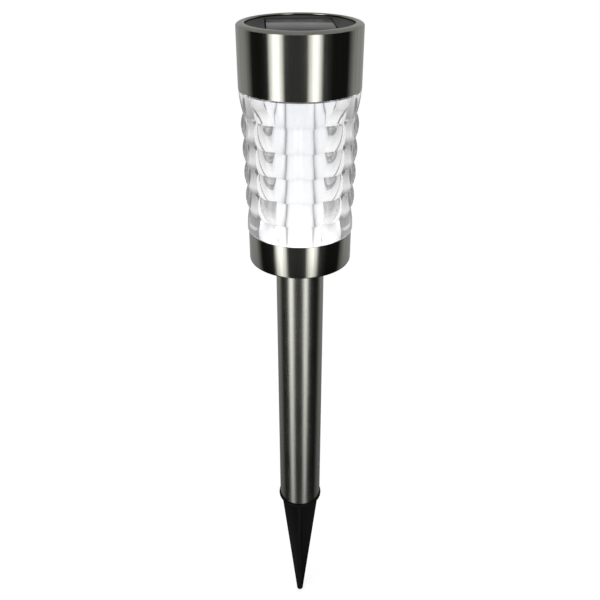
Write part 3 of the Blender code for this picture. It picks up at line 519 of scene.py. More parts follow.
@dataclass(frozen=True)
class GlowingFrost(Finish):
    """The frosted plastic of the diffuser, with a painted glow that stands in for the LED's light, brightest at
    the foot, and painted shade in its flutes.
    """

    bottom: float
    top: float
    flutes: int
    windows: int
    strength: float = 0.96
    # How dark the painted shade in the flutes gets.
    flute_shade_share: float = 0.85

    def dress(self, bench: ShaderBench, surface: bpy.types.Node) -> None:
        """Feeds the surface shader."""
        grain = MouldGrain().put(bench, Fineness=0.6).outputs
        place = bench.node("ShaderNodeSeparateXYZ", {"Vector": bench.place()}).outputs
        height = bench.spread(place["Z"], 0.0, 1.0, self.bottom, self.top)
        # Painted glow: the emission is brightest at the tube's foot and greyer towards its top.
        stops = [(0.0, (1.0, 1.0, 1.0)), (0.45, (0.86, 0.87, 0.88)), (1.0, (0.80, 0.81, 0.84))]
        glow = bench.ramp(height, stops)
        # The groove mask follows the flutes of the mesh.
        angle = bench.math("ARCTAN2", place["X"], bench.math("MULTIPLY", place["Y"], -1.0))
        turns = bench.math("MULTIPLY", angle, self.flutes / (2.0 * math.pi))
        turn = bench.math("FRACT", bench.math("ADD", turns, 0.5))
        edge = bench.math("ABSOLUTE", bench.math("SUBTRACT", bench.math("MULTIPLY", turn, 2.0), 1.0))
        window = bench.math("COSINE", bench.math("MULTIPLY", angle, float(self.windows)))
        fluted = bench.spread(window, 1.0, 0.0, 0.2, 0.6)
        depth = bench.math("MULTIPLY", fluted, self.flute_shade_share)
        groove = bench.math("MULTIPLY", bench.math("POWER", edge, 4.0), depth)
        # Painted shade: in the flutes the glow and the base colour turn near black.
        shaded = bench.blend(groove, glow, (0.10, 0.11, 0.12))
        frost = bench.blend(grain["Flow"], (0.46, 0.46, 0.47), (0.54, 0.54, 0.54))
        bench.feed(surface.inputs["Base Color"], bench.blend(groove, frost, (0.08, 0.08, 0.09)))
        bench.feed(surface.inputs["Roughness"], bench.spread(grain["Height"], 0.45, 0.65))
        bench.feed(surface.inputs["Emission Color"], shaded)
        bench.feed(surface.inputs["Normal"], bench.bump(grain["Height"], 0.00004, 0.5))
        surface.inputs["Emission Strength"].default_value = self.strength


@dataclass(frozen=True)
class LitReflector(Finish):
    """The white reflector, with a painted pool of light round where the diffuser stands on it."""

    inner: float
    outer: float
    strength: float = 0.9

    def dress(self, bench: ShaderBench, surface: bpy.types.Node) -> None:
        """Feeds the surface shader."""
        grain = MouldGrain().put(bench, Fineness=0.8).outputs
        # Painted light: the emission is brightest at the tube's radius and fades to grey at the rim.
        place = bench.node("ShaderNodeSeparateXYZ", {"Vector": bench.place((1.0, 1.0, 0.0))}).outputs
        across = bench.math("MULTIPLY", place["X"], place["X"])
        square = bench.math("ADD", across, bench.math("MULTIPLY", place["Y"], place["Y"]))
        reach = bench.spread(bench.math("SQRT", square), 0.0, 1.0, self.inner, self.outer)
        stops = [(0.0, (1.0, 1.0, 1.0)), (0.5, (0.62, 0.62, 0.64)), (1.0, (0.36, 0.36, 0.38))]
        glow = bench.ramp(reach, stops)
        white = bench.blend(grain["Flow"], (0.84, 0.84, 0.85), (0.92, 0.92, 0.92))
        bench.feed(surface.inputs["Base Color"], white)
        bench.feed(surface.inputs["Roughness"], bench.spread(grain["Height"], 0.22, 0.40))
        bench.feed(surface.inputs["Emission Color"], glow)
        bench.feed(surface.inputs["Normal"], bench.bump(grain["Height"], 0.00002, 0.4))
        surface.inputs["Emission Strength"].default_value = self.strength


@dataclass(frozen=True)
class PanelResin(Finish):
    """Solar cells under a clear resin: dark strips with gaps, fine conductor lines and two busbars across them."""

    dark: Color
    light: Color
    side: float
    turn: float
    cells: int
    border: float = 0.0011
    gap_share: float = 0.05
    line_spacing: float = 0.0011
    busbar: float = 0.0004

    def dress(self, bench: ShaderBench, surface: bpy.types.Node) -> None:
        """Feeds the surface shader."""
        coordinates = bench.node("ShaderNodeTexCoord").outputs["Object"]
        turned_back = bench.node("ShaderNodeMapping", {"Vector": coordinates, "Rotation": (0.0, 0.0, -self.turn)})
        place = bench.node("ShaderNodeSeparateXYZ", {"Vector": turned_back.outputs["Vector"]}).outputs
        half = 0.5 * self.side - self.border
        across = bench.math("ABSOLUTE", place["X"])
        along = bench.math("ABSOLUTE", place["Y"])
        inside = bench.math("LESS_THAN", bench.math("MAXIMUM", across, along), half)
        strips = bench.math("MULTIPLY", place["X"], self.cells / (2.0 * half))
        strip = bench.math("FRACT", bench.math("ADD", strips, 0.5 * self.cells))
        middle = bench.math("ABSOLUTE", bench.math("SUBTRACT", strip, 0.5))
        cell = bench.math("MULTIPLY", inside, bench.math("LESS_THAN", middle, 0.5 - self.gap_share))
        lines = bench.math("FRACT", bench.math("DIVIDE", place["Y"], self.line_spacing))
        line = bench.math("LESS_THAN", lines, 0.12)
        off_bar = bench.math("ABSOLUTE", bench.math("SUBTRACT", along, 0.5 * half))
        bar = bench.math("LESS_THAN", off_bar, self.busbar)
        drawn = bench.math("MAXIMUM", bench.math("MULTIPLY", line, 0.2), bench.math("MULTIPLY", bar, 0.5))
        metal = bench.math("MULTIPLY", drawn, cell)
        crystal = bench.spread(bench.cell(bench.place(), 420.0), 0.0, 0.6, 0.0, 0.8)
        tone = bench.blend(cell, (0.010, 0.010, 0.012), bench.blend(crystal, self.dark, self.light))
        dusty = DustFilm().put(bench, Amount=0.10).outputs["Mask"]
        tone = bench.blend(metal, tone, (0.26, 0.26, 0.26))
        bench.feed(surface.inputs["Base Color"], bench.blend(dusty, tone, (0.16, 0.16, 0.14)))
        smear = bench.noise(bench.place(), 150.0)
        bench.feed(surface.inputs["Roughness"], bench.spread(smear, 0.16, 0.28, 0.3, 0.7))
        surface.inputs["Coat Weight"].default_value = 0.35
        surface.inputs["Coat Roughness"].default_value = 0.10


@dataclass(frozen=True)
class SoftFoam(Finish):
    """A foam or a rubber with open pores."""

    color: Color
    pores: float
    pore_depth: float
    roughness: float = 0.9

    def dress(self, bench: ShaderBench, surface: bpy.types.Node) -> None:
        """Feeds the surface shader."""
        pore = bench.cell(bench.place(), self.pores)
        cloud = bench.noise(bench.place(), 0.3 * self.pores)
        pale = tuple(1.8 * part + 0.01 for part in self.color)
        tone = bench.blend(bench.math("MULTIPLY", pore, cloud), self.color, pale)
        bench.feed(surface.inputs["Base Color"], tone)
        bench.feed(surface.inputs["Roughness"], bench.spread(cloud, self.roughness - 0.1, self.roughness))
        bench.feed(surface.inputs["Normal"], bench.bump(pore, self.pore_depth, 0.7))


@dataclass(frozen=True)
class BoardLacquer(Finish):
    """Solder lacquer over copper tracks."""

    lacquer: Color = (0.020, 0.115, 0.045)
    track: Color = (0.050, 0.210, 0.085)

    def dress(self, bench: ShaderBench, surface: bpy.types.Node) -> None:
        """Feeds the surface shader."""
        grid = {"Scale": 330.0, "Mortar Size": 0.022, "Brick Width": 0.9, "Row Height": 0.55}
        grid["Vector"] = bench.place()
        gap = bench.node("ShaderNodeTexBrick", grid).outputs["Fac"]
        copper = bench.math("MULTIPLY", gap, bench.spread(bench.noise(bench.place(), 160.0), 0.0, 1.0, 0.42, 0.5))
        cloud = bench.noise(bench.place(), 500.0)
        tone = bench.blend(copper, self.lacquer, self.track)
        tone = bench.blend(bench.math("MULTIPLY", cloud, 0.25), tone, (0.01, 0.06, 0.02))
        bench.feed(surface.inputs["Base Color"], tone)
        bench.feed(surface.inputs["Roughness"], bench.spread(cloud, 0.25, 0.42))
        bench.feed(surface.inputs["Normal"], bench.bump(copper, 0.00003, 0.6))


@dataclass(frozen=True)
class Glow(Finish):
    """A lit surface, such as the phosphor of the LED."""

    color: Color
    strength: float

    def dress(self, bench: ShaderBench, surface: bpy.types.Node) -> None:
        """Feeds the surface shader."""
        cloud = bench.noise(bench.place(), 2400.0)
        dim = tuple(0.8 * part for part in self.color)
        bench.feed(surface.inputs["Base Color"], bench.blend(cloud, dim, self.color))
        bench.feed(surface.inputs["Emission Color"], bench.blend(cloud, dim, self.color))
        surface.inputs["Emission Strength"].default_value = self.strength


class Finishes:
    """The finishes of the light."""

    SLEEVE = BrushedMetal("sleeve_steel", (0.47, 0.47, 0.425), (0.36, 0.36, 0.32))
    TUBE = BrushedMetal("pole_steel", (0.45, 0.45, 0.41), (0.35, 0.35, 0.315), smooth=0.22, rough=0.30)
    NICKEL = BrushedMetal("nickel_plate", (0.66, 0.65, 0.61), (0.55, 0.54, 0.50), Grain.ACROSS)
    ZINC = BrushedMetal("zinc_plate", (0.60, 0.60, 0.58), (0.46, 0.46, 0.45), Grain.NONE, 0.25, 0.40)
    SOLDER = BrushedMetal("solder", (0.66, 0.66, 0.65), (0.52, 0.52, 0.52), Grain.NONE, 0.18, 0.30)
    HOUSING = MouldedPlastic("housing_plastic", (0.020, 0.020, 0.019), 0.42, 0.55, dust=0.05, gloss=0.35)
    COVER = MouldedPlastic("cover_plastic", (0.022, 0.022, 0.022), 0.30, 0.45)
    SPIKE = MouldedPlastic("spike_plastic", (0.0024, 0.0022, 0.0021), 0.42, 0.60, 0.00003, 0.15, 0.01, 0.1)
    SWITCH = MouldedPlastic("switch_plastic", (0.030, 0.030, 0.032), 0.35, 0.5)
    KNOB = MouldedPlastic("knob_plastic", (0.060, 0.060, 0.060), 0.35, 0.5)
    CHIP = MouldedPlastic("chip_resin", (0.020, 0.020, 0.022), 0.45, 0.6)
    INDUCTOR = MouldedPlastic("inductor_lacquer", (0.070, 0.250, 0.110), 0.25, 0.4)
    WRAP = MouldedPlastic("cell_wrap", (0.040, 0.230, 0.090), 0.22, 0.34, 0.00001, 0.2)
    RED_LEAD = MouldedPlastic("red_sheath", (0.420, 0.018, 0.016), 0.35, 0.5, 0.00001)
    BLACK_LEAD = MouldedPlastic("black_sheath", (0.020, 0.020, 0.020), 0.35, 0.5, 0.00001)
    RUBBER = SoftFoam("seal_rubber", (0.022, 0.022, 0.022), 1800.0, 0.00002, 0.8)
    FOAM = SoftFoam("gasket_foam", (0.045, 0.045, 0.050), 1300.0, 0.00010, 0.98)
    RESIN = ClearPlastic("led_resin", (0.96, 0.98, 1.0), 1.53, 0.02, 0.00001)
    BOARD = BoardLacquer("board_lacquer")
    PHOSPHOR = Glow("led_phosphor", (1.0, 0.93, 0.72), 4.0)


# ---------------------------------------------------------------- shaping


class Extent:
    """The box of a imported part, with the sizes that pieces are worked out from."""

    def __init__(self, node: str) -> None:
        """Reads the part's box."""
        self.low, self.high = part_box(node)

    @property
    def size(self) -> Vector:
        """The box's sides."""
        return self.high - self.low

    @property
    def centre(self) -> Vector:
        """The middle of the box."""
        return (self.high + self.low) / 2.0

    @property
    def radius(self) -> float:
        """Half the box's width, which is a round part's outer radius."""
        return self.size.x / 2.0

    @property
    def bottom(self) -> float:
        """The level of the underside."""
        return self.low.z

    @property
    def top(self) -> float:
        """The level of the top."""
        return self.high.z


def arc(centre: Point, reach: Point, start: float, end: float, steps: int) -> list[Point]:
    """Points on an arc.

    Args:
        centre: The arc's centre, as a radius and a height.
        reach: How far the arc reaches sideways and upwards from its centre.
        start: The first angle in degrees.
        end: The last angle in degrees.
        steps: The number of stretches.

    Returns:
        The points, ends included.
    """
    points = []
    for i in range(steps + 1):
        angle = math.radians(start + (end - start) * i / steps)
        points.append((centre[0] + reach[0] * math.cos(angle), centre[1] + reach[1] * math.sin(angle)))
    return points


def rounded(corners: Sequence[Corner], closed: bool = True) -> list[Point]:
    """An outline with its corners rounded.

    Args:
        corners: The corners as radius, height and the length that the rounding takes from each side.
        closed: Whether the last corner joins the first.

    Returns:
        The outline's points.
    """
    points: list[Point] = []
    count = len(corners)
    for i, (x, y, cut) in enumerate(corners):
        corner = Vector((x, y))
        inside = closed or 0 < i < count - 1
        if not cut or not inside:
            points.append((x, y))
            continue
        before = Vector(corners[i - 1][:2]) - corner
        after = Vector(corners[(i + 1) % count][:2]) - corner
        start = corner + before.normalized() * min(cut, 0.45 * before.length)
        end = corner + after.normalized() * min(cut, 0.45 * after.length)
        for step in range(FILLET_STEPS + 1):
            t = step / FILLET_STEPS
            point = start * (1.0 - t) ** 2 + corner * 2.0 * t * (1.0 - t) + end * t**2
            points.append((point.x, point.y))
    return points


def turned(outline: Sequence[Point], steps: int = ROUND_STEPS, closed: bool = True) -> bmesh.types.BMesh:
    """A shape turned round the Z axis.

    Args:
        outline: The outline's points, as radius and height.
        steps: The number of steps round the axis.
        closed: Whether the outline's last point joins its first.

    Returns:
        The shape.
    """
    shape = bmesh.new()
    verts = [shape.verts.new((radius, 0.0, height)) for radius, height in outline]
    pairs = list(zip(verts, verts[1:]))
    if closed:
        pairs.append((verts[-1], verts[0]))
    edges = [shape.edges.new(pair) for pair in pairs]
    axis = {"cent": (0.0, 0.0, 0.0), "axis": (0.0, 0.0, 1.0), "dvec": (0.0, 0.0, 0.0)}
    bmesh.ops.spin(shape, geom=[*verts, *edges], **axis, angle=2.0 * math.pi, steps=steps, use_merge=True)
    tidy(shape)
    return shape


def tidy(shape: bmesh.types.BMesh) -> None:
    """Merges the doubles of a shape and turns its faces outwards."""
    bmesh.ops.remove_doubles(shape, verts=shape.verts, dist=MERGE_DISTANCE)
    flat = [face for face in shape.faces if face.calc_area() < LEAST_AREA]
    bmesh.ops.delete(shape, geom=flat, context="FACES_ONLY")
    bmesh.ops.recalc_face_normals(shape, faces=shape.faces)


def block(size: Sequence[float], centre: Sequence[float], edge: float, segments: int = 2) -> bmesh.types.BMesh:
    """A box with rounded edges.

    Args:
        size: The box's sides.
        centre: The box's middle.
        edge: The rounding's width.
        segments: The rounding's segments.

    Returns:
        The shape.
    """
    shape = bmesh.new()
    bmesh.ops.create_cube(shape, size=1.0)
    bmesh.ops.scale(shape, vec=size, verts=shape.verts)
    bmesh.ops.translate(shape, vec=centre, verts=shape.verts)
    if edge:
        soften(shape, edge, segments)
    return shape


def soften(shape: bmesh.types.BMesh, width: float, segments: int = 2, angle: float = 40.0) -> None:
    """Rounds the sharp edges of a shape.

    Args:
        shape: The shape.
        width: The rounding's width.
        segments: The rounding's segments.
        angle: The least angle of an edge that is rounded, in degrees.
    """
    shape.normal_update()
    sharp = [e for e in shape.edges if e.is_manifold and e.calc_face_angle(0.0) > math.radians(angle)]
    bmesh.ops.bevel(
        shape, geom=sharp, offset=width, offset_type="OFFSET", segments=segments,
        profile=0.5, affect="EDGES", material=-1, clamp_overlap=True,
    )


def absorb(shape: bmesh.types.BMesh, other: bmesh.types.BMesh) -> None:
    """Adds another shape to this one and frees it."""
    mesh = bpy.data.meshes.new("absorbed")
    other.to_mesh(mesh)
    other.free()
    shape.from_mesh(mesh)
    bpy.data.meshes.remove(mesh)


def joined(shape: bmesh.types.BMesh, other: bmesh.types.BMesh, join: Join) -> bmesh.types.BMesh:
    """One solid cut from another, or the two made one.

    Args:
        shape: The first solid, which is freed.
        other: The second solid, which is freed.
        join: How they are joined.

    Returns:
        The new solid.
    """
    held = []
    for part in (shape, other):
        mesh = bpy.data.meshes.new("held")
        part.to_mesh(mesh)
        part.free()
        held.append(bpy.data.objects.new("held", mesh))
        bpy.context.scene.collection.objects.link(held[-1])
    step = held[0].modifiers.new("join", "BOOLEAN")
    step.operation = join.value
    step.solver = "EXACT"
    step.object = held[1]
    bpy.context.view_layer.update()
    graph = bpy.context.evaluated_depsgraph_get()
    mesh = bpy.data.meshes.new_from_object(held[0].evaluated_get(graph))
    made = bmesh.new()
    made.from_mesh(mesh)
    for obj in held:
        bpy.data.objects.remove(obj)
    tidy(made)
    return made


def copied(node: str, edge: float = 0.0) -> bmesh.types.BMesh:
    """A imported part's shape with its loose triangles merged into whole faces.

    Args:
        node: The part's name.
        edge: The width of the rounding on its sharp edges.

    Returns:
        The shape.
    """
    shape = bmesh.new()
    shape.from_mesh(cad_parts[node].data)
    bmesh.ops.remove_doubles(shape, verts=shape.verts, dist=MERGE_DISTANCE)
    limit = {"angle_limit": math.radians(1.0), "use_dissolve_boundaries": False}
    bmesh.ops.dissolve_limit(shape, **limit, verts=shape.verts, edges=shape.edges)
    if edge:
        soften(shape, edge, 1, 50.0)
    return shape


@dataclass(frozen=True)
class Role:
    """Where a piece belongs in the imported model."""

    body: Body
    slot: str
    stands_for: tuple[str, ...] = ()


def add_piece(name: str, shape: bmesh.types.BMesh, finish: Finish, role: Role) -> bpy.types.Object:
    """Makes a piece of the light from a shape, which is freed.

    Args:
        name: The piece's name.
        shape: Its shape, in place.
        finish: Its finish.
        role: Where it belongs.

    Returns:
        The piece.
    """
    mesh = bpy.data.meshes.new(name)
    shape.to_mesh(mesh)
    shape.free()
    mesh.shade_smooth()
    mesh.set_sharp_from_angle(angle=SHARP_ANGLE)
    mesh.materials.append(finish.material())
    piece = bpy.data.objects.new(name, mesh)
    bpy.context.scene.collection.objects.link(piece)
    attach(piece, role.body.value)
    if role.stands_for:
        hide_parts(*role.stands_for)
    log.info("%s: %d faces on %s", name, len(mesh.polygons), role.body.value)
    return piece


# ---------------------------------------------------------------- the spike and the pole


@dataclass
class GroundSpike:
    """The moulded spike: four fins that taper to a blunt tip, a flange and the spigot in the pole."""

    fin_thickness: float = 0.0028
    fin_edge_share: float = 0.72
    root_inset: float = 0.0015
    tip_radius: float = 0.0020
    spigot_inset: float = 0.0016
    spigot_chamfer: float = 0.0015
    flange_thickness: float = 0.0016
    tip_levels: int = 5
    edge: float = 0.00035

    def build(self) -> None:
        """Builds the spike."""
        whole = Extent("ground_spike")
        fins = self.fins(whole)
        shape = joined(fins, self.flange(whole), Join.UNION)
        role = Role(Body.STAKE, "spike_plastic", ("ground_spike",))
        add_piece("ground_spike_moulding", shape, Finishes.SPIKE, role)

    def reach(self, z: float, whole: Extent) -> float:
        """How far the fins stand out at a level.

        Args:
            z: The level.
            whole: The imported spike's box.

        Returns:
            The fins' outer radius.
        """
        if z > 0.5 * self.flange_thickness:
            spigot = whole.radius - self.spigot_inset
            return spigot - max(0.0, z - (whole.top - self.spigot_chamfer))
        root = whole.radius - self.root_inset
        share = max(0.0, -z) / (-whole.bottom - self.tip_radius)
        return max(self.tip_radius, root + (self.tip_radius - root) * min(1.0, share))

    def fins(self, whole: Extent) -> bmesh.types.BMesh:
        """The crossed fins, from the tip to the top of the spigot.

        Args:
            whole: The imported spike's box.

        Returns:
            The shape.
        """
        shape = bmesh.new()
        bmesh.ops.create_cube(shape, size=1.0)
        height = whole.top - whole.bottom
        bmesh.ops.scale(shape, vec=(self.fin_thickness, self.fin_thickness, height), verts=shape.verts)
        bmesh.ops.translate(shape, vec=(0.0, 0.0, 0.5 * (whole.top + whole.bottom)), verts=shape.verts)
        shape.normal_update()
        sides = [face for face in shape.faces if abs(face.normal.z) < 0.5]
        for face in bmesh.ops.extrude_discrete_faces(shape, faces=sides)["faces"]:
            outward = face.calc_center_median()
            outward.z = 0.0
            bmesh.ops.translate(shape, vec=outward.normalized() * self.fin_thickness, verts=face.verts)
        round_from = whole.bottom + self.tip_radius
        levels = [whole.top - self.spigot_chamfer, 0.5 * self.flange_thickness, 0.25 * self.flange_thickness]
        levels += [round_from - self.tip_radius * i / self.tip_levels for i in range(self.tip_levels)]
        for level in levels:
            geometry = [*shape.verts, *shape.edges, *shape.faces]
            bmesh.ops.bisect_plane(shape, geom=geometry, plane_co=(0.0, 0.0, level), plane_no=(0.0, 0.0, 1.0))
        for vert in shape.verts:
            self.shape_vert(vert, whole, round_from)
        bmesh.ops.recalc_face_normals(shape, faces=shape.faces)
        soften(shape, self.edge, 2, 50.0)
        return shape

    def shape_vert(self, vert: bmesh.types.BMVert, whole: Extent, round_from: float) -> None:
        """Moves a vertex of the fins to its place on the taper.

        Args:
            vert: The vertex.
            whole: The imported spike's box.
            round_from: The level where the tip's rounding starts.
        """
        half = 0.5 * self.fin_thickness
        for axis, across in ((0, 1), (1, 0)):
            if abs(vert.co[axis]) > 1.5 * half:
                vert.co[axis] = math.copysign(self.reach(vert.co.z, whole), vert.co[axis])
                vert.co[across] *= self.fin_edge_share
        below = round_from - vert.co.z
        if below > 0.0:
            shrink = max(0.35, math.sqrt(max(0.0, 1.0 - (below / self.tip_radius) ** 2)))
            vert.co.x *= shrink
            vert.co.y *= shrink

    def flange(self, whole: Extent) -> bmesh.types.BMesh:
        """The round flange that stops the spike at the soil.

        Args:
            whole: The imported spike's box.

        Returns:
            The shape.
        """
        edge = 0.3 * self.flange_thickness
        corners = [
            (0.0, self.flange_thickness, 0.0),
            (whole.radius, self.flange_thickness, edge),
            (whole.radius, 0.0, edge),
            (0.0, 0.0, 0.0),
        ]
        return turned(rounded(corners, closed=False), closed=False)


@dataclass
class Pole:
    """The steel tube between the spike and the collar."""

    wall: float = 0.0006
    edge: float = 0.0002

    def build(self) -> None:
        """Builds the tube."""
        whole = Extent("pole_tube")
        inner = whole.radius - self.wall
        corners = [
            (whole.radius, whole.top, self.edge),
            (whole.radius, whole.bottom, self.edge),
            (inner, whole.bottom, self.edge),
            (inner, whole.top, self.edge),
        ]
        shape = turned(rounded(corners))
        add_piece("steel_pole", shape, Finishes.TUBE, Role(Body.POLE, "brushed_steel", ("pole_tube",)))


# ---------------------------------------------------------------- the lamp


@dataclass
class LampFoot:
    """The collar under the lens, the socket in it and the screw between them."""

    sheet: float = 0.0005
    collar_lip: float = 0.0025
    collar_bend: float = 0.0009
    spigot_wall: float = 0.0018
    rim_wall: float = 0.0018
    plate: float = 0.0022
    hub_radius: float = 0.0045
    spigot_lead: float = 0.0008
    hole: float = 0.0015
    edge: float = 0.0003

    def build(self) -> None:
        """Builds the collar, the socket and its screw."""
        self.build_collar()
        self.build_socket()
        screw = ScrewShape(Extent("insert_screw"))
        add_piece("socket_screw", screw.shape(), Finishes.ZINC, Role(Body.LAMP, "zinc_screw", ("insert_screw",)))

    def build_collar(self) -> None:
        """The steel ring, whose lower edge is bent in over the socket."""
        whole = Extent("collar_sleeve")
        inner = whole.radius - self.sheet
        lip = whole.radius - self.collar_lip
        corners = [
            (whole.radius, whole.top, 0.4 * self.sheet),
            (whole.radius, whole.bottom, self.collar_bend),
            (lip, whole.bottom, 0.4 * self.sheet),
            (lip, whole.bottom + self.sheet, 0.4 * self.sheet),
            (inner, whole.bottom + self.sheet, 0.5 * self.collar_bend),
            (inner, whole.top, 0.4 * self.sheet),
        ]
        shape = turned(rounded(corners))
        add_piece("collar_ring", shape, Finishes.SLEEVE, Role(Body.LAMP, "brushed_steel", ("collar_sleeve",)))

    def build_socket(self) -> None:
        """The plastic socket, whose hollow spigot stands in the pole."""
        whole = Extent("collar_insert")
        screw = Extent("insert_screw")
        plate_bottom = screw.bottom + ScrewShape.head_height + fit_gap()
        spigot = Extent("pole_tube").radius - Pole.wall - fit_gap()
        bore = spigot - self.spigot_wall
        rim = whole.radius - self.rim_wall
        corners = [
            (whole.radius, whole.top, self.edge),
            (whole.radius, plate_bottom, self.edge),
            (spigot, plate_bottom, self.edge),
            (spigot, whole.bottom, self.spigot_lead),
            (bore, whole.bottom, self.edge),
            (bore, plate_bottom, self.edge),
            (self.hole, plate_bottom, 0.0),
            (self.hole, whole.top, 0.0),
            (self.hub_radius, whole.top, self.edge),
            (self.hub_radius, plate_bottom + self.plate, self.edge),
            (rim, plate_bottom + self.plate, self.edge),
            (rim, whole.top, self.edge),
        ]
        shape = turned(rounded(corners))
        add_piece("pole_socket", shape, Finishes.COVER, Role(Body.LAMP, "black_plastic", ("collar_insert",)))


def fit_gap() -> float:
    """The gap between pieces that touch, as between the pole and the spike's flange."""
    return Extent("pole_tube").bottom - GroundSpike.flange_thickness


@dataclass
class ScrewShape:
    """A pan-head screw that points up, with a cross recess."""

    whole: Extent
    thread_pitch: float = 0.0007
    thread_depth: float = 0.00022
    recess_width: float = 0.0007
    recess_length: float = 0.0029
    recess_depth: float = 0.0010
    recess_turn: float = 20.0
    head_height: float = 0.0017
    shank: float = 0.0012
    neck: float = 0.0003
    thread_end: float = 0.0004
    tip_radius: float = 0.0004
    tip_length: float = 0.0010
    head_round: float = 0.0006

    def shape(self) -> bmesh.types.BMesh:
        """The screw, in place.

        Returns:
            The shape.
        """
        head = self.whole.radius
        low = self.whole.bottom
        seat = low + self.head_height
        cone = self.whole.top - self.tip_length
        root = self.shank - self.thread_depth
        corners = [
            (0.0, self.whole.top, 0.0),
            (self.tip_radius, self.whole.top, 0.0),
            (root, cone, 0.0),
            *self.thread(seat + self.thread_end, cone),
            (root, seat + self.neck, 0.0),
            (self.shank, seat, 0.0),
            (head, seat, 0.0001),
            (head, seat - 0.6 * self.head_height, self.head_round),
            (0.55 * head, low, self.head_round),
            (0.0, low, 0.0),
        ]
        shape = turned(rounded(corners, closed=False), SMALL_STEPS, closed=False)
        for angle in (0.0, 90.0):
            size = (self.recess_length, self.recess_width, 2.0 * self.recess_depth)
            slot = block(size, (0.0, 0.0, low), 0.0)
            turn = Matrix.Rotation(math.radians(angle + self.recess_turn), 3, "Z")
            bmesh.ops.rotate(slot, matrix=turn, verts=slot.verts)
            shape = joined(shape, slot, Join.DIFFERENCE)
        centre = self.whole.centre
        bmesh.ops.translate(shape, vec=(centre.x, centre.y, 0.0), verts=shape.verts)
        return shape

    def thread(self, start: float, end: float) -> list[Corner]:
        """The thread's crests and roots, from the point down to the head.

        Args:
            start: The lowest level.
            end: The highest level.

        Returns:
            The outline's corners.
        """
        corners: list[Corner] = []
        count = int((end - start) / self.thread_pitch)
        for i in range(count):
            crest = end - (i + 0.5) * self.thread_pitch
            corners.append((self.shank, crest, 0.0))
            corners.append((self.shank - self.thread_depth, crest - 0.5 * self.thread_pitch, 0.0))
        return corners


